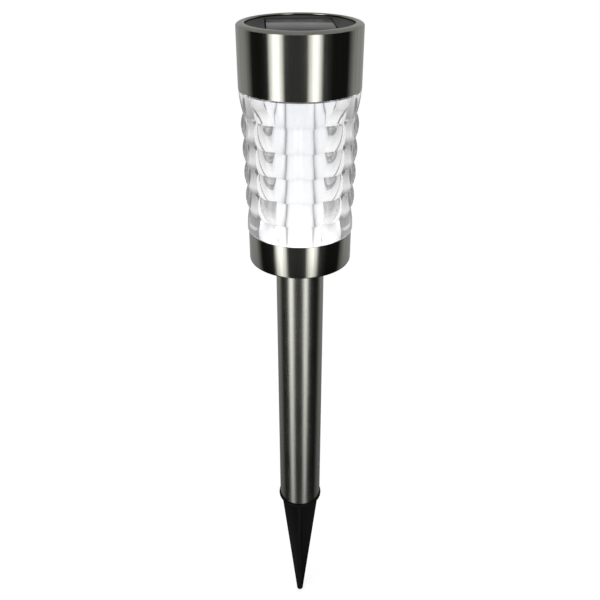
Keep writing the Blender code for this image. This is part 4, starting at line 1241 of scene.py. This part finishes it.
@dataclass
class Lens:
    """The clear lens: a thick moulding whose side is a net of pillow-shaped cells."""

    columns: int = 14
    rows: int = 4
    top_band: float = 0.0112
    bottom_band: float = 0.0099
    groove: float = 0.0013
    steps_across: int = 12
    steps_down: int = 12
    shoulder: float = 0.0080
    neck_wall: float = 0.0020
    stub_wall: float = 0.0028
    floor: float = 0.0030
    boss_radius: float = 0.0040
    boss_height: float = 0.0050
    boss_closure: float = 0.0010
    hole: float = 0.0015
    foot_overhang: float = 0.0005
    top_inset: float = 0.00015
    # Strength of the painted glow in the lens, brightest at its foot.
    painted_glow: float = 0.10

    def build(self) -> None:
        """Builds the lens."""
        whole = Extent("lens")
        shape = turned(self.outline(whole), self.columns * self.steps_across)
        crease_shade = shape.verts.layers.float.new(CREASE_SHADE)
        for vert in shape.verts:
            self.press(vert, crease_shade)
        finish = ClearPlastic(
            "clear_lens", (0.985, 0.985, 0.985), roughness=0.03, painted_glow=self.painted_glow,
            light_from=whole.bottom, light_to=self.bottom + 2.0 * self.bottom_band,
        )
        add_piece("lens_moulding", shape, finish, Role(Body.LAMP, "clear_lens", ("lens",)))

    @cached_property
    def top(self) -> float:
        """The level of the shoulder under the head."""
        return Extent("lens").top - self.shoulder

    @cached_property
    def bottom(self) -> float:
        """The level of the patterned side's lower edge."""
        return Extent("collar_sleeve").top + fit_gap()

    @cached_property
    def top_radius(self) -> float:
        """The side's radius under the head."""
        return Extent("cap_sleeve").radius - self.top_inset

    @cached_property
    def foot_radius(self) -> float:
        """The side's radius over the collar."""
        return Extent("collar_sleeve").radius + self.foot_overhang

    @cached_property
    def neck(self) -> float:
        """The radius of the neck that the head goes over."""
        return Extent("neck_seal").radius

    @cached_property
    def stub(self) -> float:
        """The radius of the stub in the collar."""
        return Extent("collar_insert").radius

    @cached_property
    def cell_height(self) -> float:
        """The height of a row of cells."""
        return (self.top - self.bottom - self.top_band - self.bottom_band) / self.rows

    def outline(self, whole: Extent) -> list[Point]:
        """The lens's outline, over the middle of a column of cells.

        Args:
            whole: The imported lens's box.

        Returns:
            The outline's points.
        """
        inner = self.neck - self.neck_wall
        floor_top = whole.bottom + self.floor
        boss_top = floor_top + self.boss_height
        cup = self.stub - self.stub_wall
        side = [(self.side(z), z, 0.0) for z in self.levels()]
        corners = [
            (inner, whole.top, 0.0004),
            (self.neck, whole.top, 0.0005),
            (self.neck, self.top, 0.0002),
            *side,
            (self.stub, self.bottom, 0.0002),
            (self.stub, whole.bottom, 0.0006),
            (self.hole, whole.bottom, 0.0002),
            (self.hole, boss_top - self.boss_closure, 0.0),
            (0.0, boss_top - self.boss_closure, 0.0),
            (0.0, boss_top, 0.0),
            (self.boss_radius, boss_top, 0.0005),
            (self.boss_radius, floor_top, 0.0005),
            (cup, floor_top, 0.0012),
            (inner, self.top, 0.0),
        ]
        return rounded(corners)

    def levels(self) -> list[float]:
        """The levels of the patterned side, from the top down."""
        levels = [self.top]
        for height in [self.top_band] + [self.cell_height] * self.rows + [self.bottom_band]:
            start = levels[-1]
            levels += [start - height * i / self.steps_down for i in range(1, self.steps_down + 1)]
        return levels

    def band_share(self, z: float) -> float:
        """How near a level is to a groove between rows.

        Args:
            z: The level.

        Returns:
            0 at a row's middle and at the lens's ends, 1 in a groove.
        """
        below = self.top - z
        if below <= self.top_band:
            return below / self.top_band
        below -= self.top_band
        if below < self.rows * self.cell_height:
            return abs(2.0 * (below / self.cell_height % 1.0) - 1.0)
        return (z - self.bottom) / self.bottom_band

    def side(self, z: float) -> float:
        """The outer radius at a level, over the middle of a column.

        Args:
            z: The level.

        Returns:
            The radius.
        """
        share = (z - self.bottom) / (self.top - self.bottom)
        envelope = self.foot_radius + (self.top_radius - self.foot_radius) * share
        return envelope - self.groove * self.band_share(z) ** 2

    def press(self, vert: bmesh.types.BMVert, crease_shade: bmesh.types.BMLayerItem) -> None:
        """Draws a vertex of the side in towards the upright grooves, and marks the grooves between the rows, where
        the lens's finish paints shade.

        Args:
            vert: The vertex.
            crease_shade: The layer of the marks.
        """
        x, y, z = vert.co
        radius = math.hypot(x, y)
        if radius < self.foot_radius - 2.0 * self.groove or not self.bottom < z < self.top:
            return
        column = math.atan2(x, -y) / (2.0 * math.pi) * self.columns
        edge_share = abs(2.0 * (column % 1.0) - 1.0)
        reach = min(1.0, (self.top - z) / self.top_band, (z - self.bottom) / self.bottom_band)
        scale = 1.0 - self.groove * edge_share**2 * reach / radius
        vert.co.x *= scale
        vert.co.y *= scale
        # Near 1 only in the grooves between the rows, where the lens's finish paints shade.
        vert[crease_shade] = self.band_share(z) ** 10


@dataclass
class LightWell:
    """What glows in the lens with painted light: the reflector on its floor and the frosted tube on it."""

    flutes: int = 24
    windows: int = 6
    flute_depth: float = 0.00035
    steps_per_flute: int = 8
    tube_wall: float = 0.0012
    disc: float = 0.0008
    rim: float = 0.0010
    rim_height: float = 0.0020
    boss_radius: float = 0.0043
    edge: float = 0.00025

    def build(self) -> None:
        """Builds the reflector and the diffuser."""
        tube = Extent("diffuser_tube")
        self.build_reflector(tube)
        self.build_diffuser(tube)

    def build_reflector(self, tube: Extent) -> None:
        """The white disc, with a rim round the tube's foot.

        Args:
            tube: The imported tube's box.
        """
        whole = Extent("reflector_disc")
        rim = tube.radius + fit_gap()
        top = whole.bottom + self.disc
        corners = [
            (whole.radius, top, self.edge),
            (whole.radius, whole.bottom, self.edge),
            (self.boss_radius, whole.bottom, self.edge),
            (self.boss_radius, top, self.edge),
            (rim, top, self.edge),
            (rim, top + self.rim_height, self.edge),
            (rim + self.rim, top + self.rim_height, self.edge),
            (rim + self.rim, top, 2.0 * self.edge),
        ]
        finish = LitReflector("lit_reflector", tube.radius, whole.radius)
        shape = turned(rounded(corners))
        add_piece("reflector_plate", shape, finish, Role(Body.LAMP, "white_reflector", ("reflector_disc",)))

    def build_diffuser(self, tube: Extent) -> None:
        """The frosted tube, fluted outside.

        Args:
            tube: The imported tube's box.
        """
        inner = tube.radius - self.tube_wall
        corners = [
            (tube.radius, tube.top, self.edge),
            (tube.radius, tube.bottom, self.edge),
            (inner, tube.bottom, self.edge),
            (inner, tube.top, self.edge),
        ]
        shape = turned(rounded(corners), self.flutes * self.steps_per_flute)
        for vert in shape.verts:
            radius = math.hypot(vert.co.x, vert.co.y)
            if radius < tube.radius - 0.5 * self.tube_wall:
                continue
            angle = math.atan2(vert.co.x, -vert.co.y)
            turn = angle / (2.0 * math.pi) * self.flutes + 0.5
            share = abs(2.0 * (turn % 1.0) - 1.0)
            fluted = 0.5 - 0.5 * math.cos(self.windows * angle)
            scale = 1.0 - self.flute_depth * fluted * share**4 / radius
            vert.co.x *= scale
            vert.co.y *= scale
        finish = GlowingFrost("glowing_frost", tube.bottom, tube.top, self.flutes, self.windows)
        add_piece("frosted_tube", shape, finish, Role(Body.LAMP, "frosted_diffuser", ("diffuser_tube",)))


# ---------------------------------------------------------------- the head's shell


@dataclass
class HeadShell:
    """The steel sleeve, the housing in it with its panel, and the seal that the head turns on."""

    sheet: float = 0.0005
    rim_round: float = 0.0034
    rim_drop: float = 0.0014
    rim_curl: float = 0.0006
    rim_steps: int = 12
    panel_turn: float = math.radians(3.5)
    cells: int = 4
    seal_edge: float = 0.0004
    seal_groove: float = 0.0003
    seal_groove_depth: float = 0.0002
    edge: float = 0.0002

    def build(self) -> None:
        """Builds the shell's pieces."""
        self.build_sleeve()
        shape = copied("panel_housing", self.edge)
        add_piece("head_housing", shape, Finishes.HOUSING, Role(Body.HEAD, "black_plastic", ("panel_housing",)))
        shape = copied("panel_gasket", 0.5 * self.edge)
        add_piece("panel_bedding", shape, Finishes.FOAM, Role(Body.HEAD, "foam", ("panel_gasket",)))
        self.build_panel()
        self.build_seal()

    def build_sleeve(self) -> None:
        """The steel sleeve, rolled in at the top to a rounded rim."""
        whole = Extent("cap_sleeve")
        corner = (whole.radius - self.rim_round, whole.top - self.rim_drop)
        curl = (corner[0], whole.top - self.rim_curl)
        roll = arc(curl, (self.rim_curl, self.rim_curl), 180.0, 90.0, FILLET_STEPS)
        outside = arc(corner, (self.rim_round, self.rim_drop), 90.0, 0.0, self.rim_steps)[1:]
        under = (self.rim_round - self.sheet, self.rim_drop - self.sheet)
        inside = arc(corner, under, 0.0, 90.0, self.rim_steps)
        foot = [
            (whole.radius, whole.bottom + 0.3 * self.sheet),
            (whole.radius - 0.3 * self.sheet, whole.bottom),
            (whole.radius - self.sheet, whole.bottom),
        ]
        shape = turned([*roll, *outside, *foot, *inside])
        add_piece("steel_cap", shape, Finishes.SLEEVE, Role(Body.HEAD, "brushed_steel", ("cap_sleeve",)))

    def build_panel(self) -> None:
        """The panel: a resin slab with the cells in it."""
        whole = Extent("solar_panel")
        side = whole.size.x / (math.cos(self.panel_turn) + math.sin(self.panel_turn))
        shape = block((side, side, whole.size.z), whole.centre, 0.0003)
        bmesh.ops.rotate(shape, matrix=Matrix.Rotation(self.panel_turn, 3, "Z"), verts=shape.verts)
        dark, light = (0.016, 0.018, 0.026), (0.028, 0.031, 0.044)
        finish = PanelResin("panel_resin", dark, light, side, self.panel_turn, self.cells)
        add_piece("solar_cells", shape, finish, Role(Body.HEAD, "solar_cell", ("solar_panel",)))

    def build_seal(self) -> None:
        """The rubber ring on the lens's neck, with a groove round it."""
        whole = Extent("neck_seal")
        inner = whole.radius - Lens.neck_wall
        middle = 0.5 * (whole.top + whole.bottom)
        corners = [
            (whole.radius, whole.top, self.seal_edge),
            (whole.radius, middle + self.seal_groove, 0.0001),
            (whole.radius - self.seal_groove_depth, middle, 0.0001),
            (whole.radius, middle - self.seal_groove, 0.0001),
            (whole.radius, whole.bottom, self.seal_edge),
            (inner, whole.bottom, self.seal_edge),
            (inner, whole.top, self.seal_edge),
        ]
        shape = turned(rounded(corners))
        add_piece("rubber_seal", shape, Finishes.RUBBER, Role(Body.SEAL, "seal_rubber", ("neck_seal",)))


# ---------------------------------------------------------------- inside the head


@dataclass
class HeadTray:
    """The cover under the head, its screws and the slide switch."""

    edge: float = 0.00015
    knob_ribs: int = 4
    knob_width: float = 0.0020
    rib_length: float = 0.0015
    rib_height: float = 0.00016
    rib_lift: float = 0.00005
    rib_edge: float = 0.00004

    def build(self) -> None:
        """Builds the tray's pieces."""
        shape = copied("base_cover", self.edge)
        add_piece("under_cover", shape, Finishes.COVER, Role(Body.HEAD, "black_plastic", ("base_cover",)))
        for number in (1, 2, 3):
            node = f"cover_screw_{number}"
            shape = ScrewShape(Extent(node)).shape()
            add_piece(f"tray_screw_{number}", shape, Finishes.ZINC, Role(Body.HEAD, "zinc_screw", (node,)))
        shape = copied("switch_body", self.edge)
        add_piece("switch_case", shape, Finishes.SWITCH, Role(Body.HEAD, "chip_resin", ("switch_body",)))
        self.build_slider()

    def build_slider(self) -> None:
        """The switch's slider, with grip ribs across the end of its knob."""
        whole = Extent("switch_slider")
        shape = copied("switch_slider", self.edge)
        pitch = self.knob_width / self.knob_ribs
        for i in range(self.knob_ribs):
            x = whole.centre.x - 0.5 * self.knob_width + (i + 0.5) * pitch
            size = (0.45 * pitch, self.rib_length, self.rib_height)
            absorb(shape, block(size, (x, whole.centre.y, whole.bottom + self.rib_lift), self.rib_edge, 1))
        add_piece("switch_knob", shape, Finishes.KNOB, Role(Body.SWITCH, "black_plastic", ("switch_slider",)))


@dataclass
class PowerPack:
    """The rechargeable cell, its contacts and the leads."""

    nub_radius: float = 0.0019
    nub_length: float = 0.0010
    crimp: float = 0.0007

    def build(self) -> None:
        """Builds the power pack's pieces."""
        self.build_cell()
        for node, name in (("contact_plate", "nub_contact"), ("spring_plate", "spring_contact")):
            whole = Extent(node)
            shape = block(whole.size, whole.centre, 0.00012)
            add_piece(name, shape, Finishes.NICKEL, Role(Body.HEAD, "nickel", (node,)))
        self.smooth_wire("battery_spring", "contact_spring", Finishes.NICKEL, "nickel")
        for end in ("panel", "battery"):
            self.smooth_wire(f"{end}_lead_red", f"{end}_wire_red", Finishes.RED_LEAD, "red_lead")
            self.smooth_wire(f"{end}_lead_black", f"{end}_wire_black", Finishes.BLACK_LEAD, "black_lead")

    def smooth_wire(self, node: str, name: str, finish: Finish, slot: str) -> None:
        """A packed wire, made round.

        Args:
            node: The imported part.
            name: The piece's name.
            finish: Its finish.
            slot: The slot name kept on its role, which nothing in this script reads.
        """
        piece = add_piece(name, copied(node), finish, Role(Body.HEAD, slot, (node,)))
        step = piece.modifiers.new("round", "SUBSURF")
        step.levels = 1
        step.render_levels = 1

    def build_cell(self) -> None:
        """The cell: a wrapped can, a bare nub and a crimped shoulder."""
        whole = Extent("battery_cell")
        half = 0.5 * whole.size.x
        radius = 0.5 * whole.size.z
        body = half - self.nub_length
        wrap = [
            (radius - self.crimp, body, 0.0),
            (radius - 0.0001, body, 0.0004),
            (radius, -half, 0.0006),
            (radius - 2.0 * self.crimp, -half, 0.0),
            (radius - 2.0 * self.crimp, 0.0002 - half, 0.0),
            (radius - self.crimp, body - 0.0002, 0.0),
        ]
        shape = turned(rounded(wrap), SMALL_STEPS)
        self.lay_down("cell_sleeve", shape, Finishes.WRAP, "cell_wrap", ("battery_cell",))
        can = [
            (0.0, half, 0.0),
            (self.nub_radius, half, 0.0003),
            (self.nub_radius, body - 0.0002, 0.0002),
            (radius - 1.2 * self.crimp, body - 0.0002, 0.0002),
            (radius - 1.2 * self.crimp, 0.5 * body, 0.0),
            (radius - 2.2 * self.crimp, -half + 0.0004, 0.0),
            (radius - 2.2 * self.crimp, 0.0001 - half, 0.0002),
            (0.0, 0.0001 - half, 0.0),
        ]
        shape = turned(rounded(can, closed=False), SMALL_STEPS, closed=False)
        self.lay_down("cell_can", shape, Finishes.NICKEL, "nickel", ())

    def lay_down(
        self, name: str, shape: bmesh.types.BMesh, finish: Finish, slot: str, nodes: tuple[str, ...],
    ) -> None:
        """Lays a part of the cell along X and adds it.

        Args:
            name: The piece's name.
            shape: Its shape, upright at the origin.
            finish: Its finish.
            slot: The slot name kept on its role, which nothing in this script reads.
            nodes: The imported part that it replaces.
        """
        bmesh.ops.rotate(shape, matrix=Matrix.Rotation(math.radians(90.0), 3, "Y"), verts=shape.verts)
        bmesh.ops.translate(shape, vec=Extent("battery_cell").centre, verts=shape.verts)
        add_piece(name, shape, finish, Role(Body.HEAD, slot, nodes))


@dataclass
class ControlBoard:
    """The circuit board, what is soldered on it, and the LED under it."""

    joint_radius: float = 0.0006
    joint_height: float = 0.0007
    joint_spots: tuple[float, ...] = (-0.0035, -0.0015, 0.0015, 0.0035)
    joint_inset: float = 0.0012
    resistor: tuple[float, float, float] = (0.0016, 0.0008, 0.0005)
    resistor_spots: tuple[Point, ...] = ((-0.0052, -0.0035), (0.0052, -0.0120), (-0.0052, -0.0125))
    chip_legs: int = 4
    chip_leg: tuple[float, float, float] = (0.0007, 0.0003, 0.0004)
    chip_leg_pitch: float = 0.0009
    chip_leg_reach: float = 0.0003
    led_flange: float = 0.0010
    led_flange_rise: float = 0.0076
    led_flange_width: float = 0.0004
    led_legs: float = 0.00254
    leg_radius: float = 0.00025

    def build(self) -> None:
        """Builds the board's pieces."""
        board = Extent("circuit_board")
        shape = block(board.size, board.centre, 0.0001, 1)
        add_piece("control_board", shape, Finishes.BOARD, Role(Body.HEAD, "circuit_board", ("circuit_board",)))
        self.build_chip(board)
        self.build_inductor()
        self.build_small_parts(board)
        self.build_led()

    def build_chip(self, board: Extent) -> None:
        """The controller chip and its legs.

        Args:
            board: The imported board's box.
        """
        whole = Extent("controller_chip")
        shape = block(whole.size, whole.centre, 0.0002, 2)
        add_piece("chip_case", shape, Finishes.CHIP, Role(Body.HEAD, "chip_resin", ("controller_chip",)))
        legs = bmesh.new()
        for side in (-1.0, 1.0):
            for i in range(self.chip_legs):
                x = whole.centre.x + side * (0.5 * whole.size.x + self.chip_leg_reach)
                y = whole.centre.y + (i - 0.5 * (self.chip_legs - 1)) * self.chip_leg_pitch
                absorb(legs, block(self.chip_leg, (x, y, board.top + 0.5 * self.chip_leg[2]), 0.0001, 1))
        add_piece("chip_legs", legs, Finishes.SOLDER, Role(Body.HEAD, "nickel"))

    def build_inductor(self) -> None:
        """The inductor: a lacquered body, thicker at its ends, lying along X."""
        whole = Extent("inductor")
        half = 0.5 * whole.size.x
        radius = 0.5 * whole.size.z
        corners = [
            (0.0, half, 0.0),
            (radius, half, 0.0006),
            (radius, 0.55 * half, 0.0005),
            (0.86 * radius, 0.35 * half, 0.0003),
            (0.86 * radius, -0.35 * half, 0.0003),
            (radius, -0.55 * half, 0.0005),
            (radius, -half, 0.0006),
            (0.0, -half, 0.0),
        ]
        shape = turned(rounded(corners, closed=False), SMALL_STEPS, closed=False)
        bmesh.ops.rotate(shape, matrix=Matrix.Rotation(math.radians(90.0), 3, "Y"), verts=shape.verts)
        bmesh.ops.translate(shape, vec=whole.centre, verts=shape.verts)
        add_piece("inductor_body", shape, Finishes.INDUCTOR, Role(Body.HEAD, "inductor_lacquer", ("inductor",)))

    def build_small_parts(self, board: Extent) -> None:
        """The solder joints at the board's edges and the small resistors.

        Args:
            board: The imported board's box.
        """
        joints = bmesh.new()
        corners = [
            (0.0, self.joint_height, 0.0),
            (0.4 * self.joint_radius, self.joint_height, 0.0001),
            (self.joint_radius, 0.0001, 0.0002),
            (self.joint_radius, 0.0, 0.0),
            (0.0, 0.0, 0.0),
        ]
        for x in self.joint_spots:
            centre = (x, board.low.y + self.joint_inset, board.top)
            joint = turned(rounded(corners, closed=False), 16, closed=False)
            bmesh.ops.translate(joint, vec=centre, verts=joint.verts)
            absorb(joints, joint)
        add_piece("solder_joints", joints, Finishes.SOLDER, Role(Body.HEAD, "nickel"))
        resistors = bmesh.new()
        for x, y in self.resistor_spots:
            centre = (x, y, board.top + 0.5 * self.resistor[2])
            absorb(resistors, block(self.resistor, centre, 0.0001, 1))
        add_piece("board_resistors", resistors, Finishes.CHIP, Role(Body.HEAD, "chip_resin"))

    def build_led(self) -> None:
        """The LED: a clear domed body with a flange, the lit cup in it and its two legs."""
        whole = Extent("led")
        radius = whole.radius - self.led_flange_width
        dome = (0.0, whole.bottom + radius)
        flange_bottom = whole.bottom + self.led_flange_rise
        flange_top = flange_bottom + self.led_flange
        outline = [
            (0.0, flange_top),
            (whole.radius - 0.0001, flange_top),
            (whole.radius, flange_top - 0.0001),
            (whole.radius, flange_bottom + 0.0001),
            (whole.radius - 0.0001, flange_bottom),
            (radius, flange_bottom),
            *arc(dome, (radius, radius), 0.0, -90.0, 12)[:-1],
            (0.0, whole.bottom),
        ]
        body = turned(outline, SMALL_STEPS, closed=False)
        add_piece("led_body", body, Finishes.RESIN, Role(Body.HEAD, "led_resin", ("led",)))
        low = dome[1] + 0.0008
        cup = [
            (0.0, low, 0.0),
            (0.0006, low, 0.0),
            (0.0011, low - 0.0005, 0.0001),
            (0.0013, low - 0.0005, 0.0001),
            (0.0010, low + 0.0009, 0.0002),
            (0.0, low + 0.0009, 0.0),
        ]
        shape = turned(rounded(cup, closed=False), SMALL_STEPS, closed=False)
        add_piece("led_cup", shape, Finishes.PHOSPHOR, Role(Body.HEAD, "led_resin"))
        legs = bmesh.new()
        height = whole.top - flange_top
        corners = [
            (0.0, height, 0.0),
            (self.leg_radius, height, 0.0),
            (self.leg_radius, 0.0, 0.0),
            (0.0, 0.0, 0.0),
        ]
        for side in (-0.5, 0.5):
            leg = turned(rounded(corners, closed=False), 12, closed=False)
            bmesh.ops.translate(leg, vec=(side * self.led_legs, 0.0, flange_top), verts=leg.verts)
            absorb(legs, leg)
        add_piece("led_legs", legs, Finishes.SOLDER, Role(Body.HEAD, "nickel"))


# ---------------------------------------------------------------- the studio


@dataclass(frozen=True)
class SoftStrip:
    """An upright strip of soft light, brightest along its middle."""

    bearing: float
    half_width: float
    level: float
    edge_share: float = 0.4
    fade: float = 4.5

    def light(self, bench: ShaderBench, bearing: Feed) -> bpy.types.NodeSocket:
        """What the strip gives in a direction.

        Args:
            bench: The world's tree.
            bearing: The direction's bearing from the front, in radians.

        Returns:
            The level.
        """
        half = math.radians(self.half_width)
        away = bench.math("ABSOLUTE", bench.math("SUBTRACT", bearing, math.radians(self.bearing)))
        core = bench.spread(away, self.level, self.edge_share * self.level, 0.0, half)
        return bench.math("MULTIPLY", core, bench.spread(away, 1.0, 0.0, half, half + math.radians(self.fade)))


@dataclass
class Studio:
    """The floor, the camera and the light."""

    camera_place: tuple[float, float, float] = (0.0, -0.3268, 0.3339)
    camera_pitch: float = 30.28
    focal_length: float = 41.93
    sensor: float = 36.0
    floor_radius: float = 6.0
    floor_glow: float = 0.65
    front_level: float = 0.055
    side_level: float = 0.012
    back_level: float = 0.40
    top_level: float = 0.36
    strips: tuple[SoftStrip, ...] = (SoftStrip(-43.0, 11.5, 3.2), SoftStrip(27.0, 10.5, 2.9))
    white_level: float = 1.02
    key_place: tuple[float, float, float] = (-0.55, -0.75, 1.05)
    key_aim: tuple[float, float, float] = (0.0, 0.0, 0.1)
    key_power: float = 1.6
    key_size: float = 0.9

    def build(self) -> None:
        """Builds the studio."""
        bpy.context.scene.view_settings.view_transform = "Standard"
        self.build_floor()
        self.build_camera()
        self.build_dome()
        self.build_key()

    def build_floor(self) -> None:
        """A plain pale floor, which only the camera sees, so that the dome below lights the pieces."""
        shape = bmesh.new()
        bmesh.ops.create_circle(shape, cap_ends=True, radius=self.floor_radius, segments=SMALL_STEPS)
        bmesh.ops.translate(shape, vec=(0.0, 0.0, cad_box[0].z - 0.0003), verts=shape.verts)
        mesh = bpy.data.meshes.new("floor")
        shape.to_mesh(mesh)
        shape.free()
        material = bpy.data.materials.new("pale_floor")
        material.use_nodes = True
        surface = material.node_tree.nodes["Principled BSDF"]
        surface.inputs["Base Color"].default_value = (0.93, 0.93, 0.93, 1.0)
        surface.inputs["Roughness"].default_value = 0.9
        surface.inputs["Emission Color"].default_value = (1.0, 1.0, 1.0, 1.0)
        surface.inputs["Emission Strength"].default_value = self.floor_glow
        mesh.materials.append(material)
        floor = bpy.data.objects.new("floor", mesh)
        bpy.context.scene.collection.objects.link(floor)
        for kind in ("diffuse", "glossy", "transmission", "shadow"):
            setattr(floor, f"visible_{kind}", False)

    def build_camera(self) -> None:
        """The camera, a little above the light and looking down at it."""
        data = bpy.data.cameras.new("camera")
        data.sensor_width = self.sensor
        data.lens = self.focal_length
        data.clip_start = 0.01
        data.clip_end = 50.0
        camera = bpy.data.objects.new("camera", data)
        camera.location = self.camera_place
        camera.rotation_euler = (math.radians(90.0 - self.camera_pitch), 0.0, 0.0)
        bpy.context.scene.collection.objects.link(camera)
        bpy.context.scene.camera = camera

    def build_dome(self) -> None:
        """The light all round: two soft strips in front, black flags at the sides, plain grey behind and above."""
        world = bpy.data.worlds.new("studio_dome")
        world.use_nodes = True
        world.node_tree.nodes.clear()
        bpy.context.scene.world = world
        bench = ShaderBench(world.node_tree)
        way = bench.node("ShaderNodeTexCoord").outputs["Generated"]
        place = bench.node("ShaderNodeSeparateXYZ", {"Vector": way}).outputs
        bearing = bench.math("ARCTAN2", place["X"], bench.math("MULTIPLY", place["Y"], -1.0))
        aside = bench.math("ABSOLUTE", bearing)
        front = bench.spread(aside, self.front_level, self.side_level, math.radians(48.0), math.radians(60.0))
        behind = bench.spread(aside, 0.0, self.back_level, math.radians(95.0), math.radians(115.0))
        ring = bench.math("ADD", front, behind)
        for strip in self.strips:
            ring = bench.math("ADD", ring, strip.light(bench, bearing))
        ring = bench.math("MULTIPLY", ring, bench.spread(place["Z"], 0.25, 1.0, -0.85, -0.38))
        high = bench.spread(place["Z"], 0.0, 1.0, 0.30, 0.60)
        light = bench.blend(high, ring, (self.top_level,) * 3)
        through = self.sweep(bench, place["Z"], aside)
        ray = bench.node("ShaderNodeLightPath").outputs
        color = bench.blend(ray["Is Transmission Ray"], light, through)
        background = bench.node("ShaderNodeBackground", {"Color": color, "Strength": 1.0})
        white = bench.node("ShaderNodeBackground", {"Color": (1.0, 1.0, 1.0), "Strength": self.white_level})
        mixed = bench.node("ShaderNodeMixShader", {"Fac": ray["Is Camera Ray"]})
        bench.feed(mixed.inputs[1], background.outputs[0])
        bench.feed(mixed.inputs[2], white.outputs[0])
        bench.node("ShaderNodeOutputWorld", {"Surface": mixed.outputs[0]})

    def sweep(self, bench: ShaderBench, rise: Feed, aside: Feed) -> bpy.types.NodeSocket:
        """The pale paper sweep behind the light, as seen through the clear lens.

        Args:
            bench: The world's tree.
            rise: The upward share of the direction.
            aside: How far round from the front the direction is, in radians.

        Returns:
            The level.
        """
        behind = bench.spread(aside, 0.36, 1.0, math.radians(108.0), math.radians(150.0))
        below = bench.spread(rise, 0.30, 0.95, -0.70, -0.25)
        above = bench.spread(rise, 1.0, 0.45, -0.17, 0.05)
        return bench.math("MULTIPLY", behind, bench.math("MULTIPLY", below, above))

    def build_key(self) -> None:
        """A large soft light above and to the left, which the steel doesn't mirror."""
        data = bpy.data.lights.new("key", "AREA")
        data.shape = "DISK"
        data.size = self.key_size
        data.energy = self.key_power
        key = bpy.data.objects.new("key", data)
        key.location = self.key_place
        aim = Vector(self.key_aim) - Vector(self.key_place)
        key.rotation_euler = aim.to_track_quat("-Z", "Y").to_euler()
        key.visible_glossy = False
        bpy.context.scene.collection.objects.link(key)


def main() -> None:
    """Builds the studio and every sub-assembly."""
    logging.basicConfig(level=logging.INFO, format="%(name)s: %(message)s")
    for part in (
        Studio(), GroundSpike(), Pole(), LampFoot(), Lens(), LightWell(),
        HeadShell(), HeadTray(), PowerPack(), ControlBoard(),
    ):
        log.info("building %s", type(part).__name__)
        part.build()


if __name__ == "__main__":
    main()
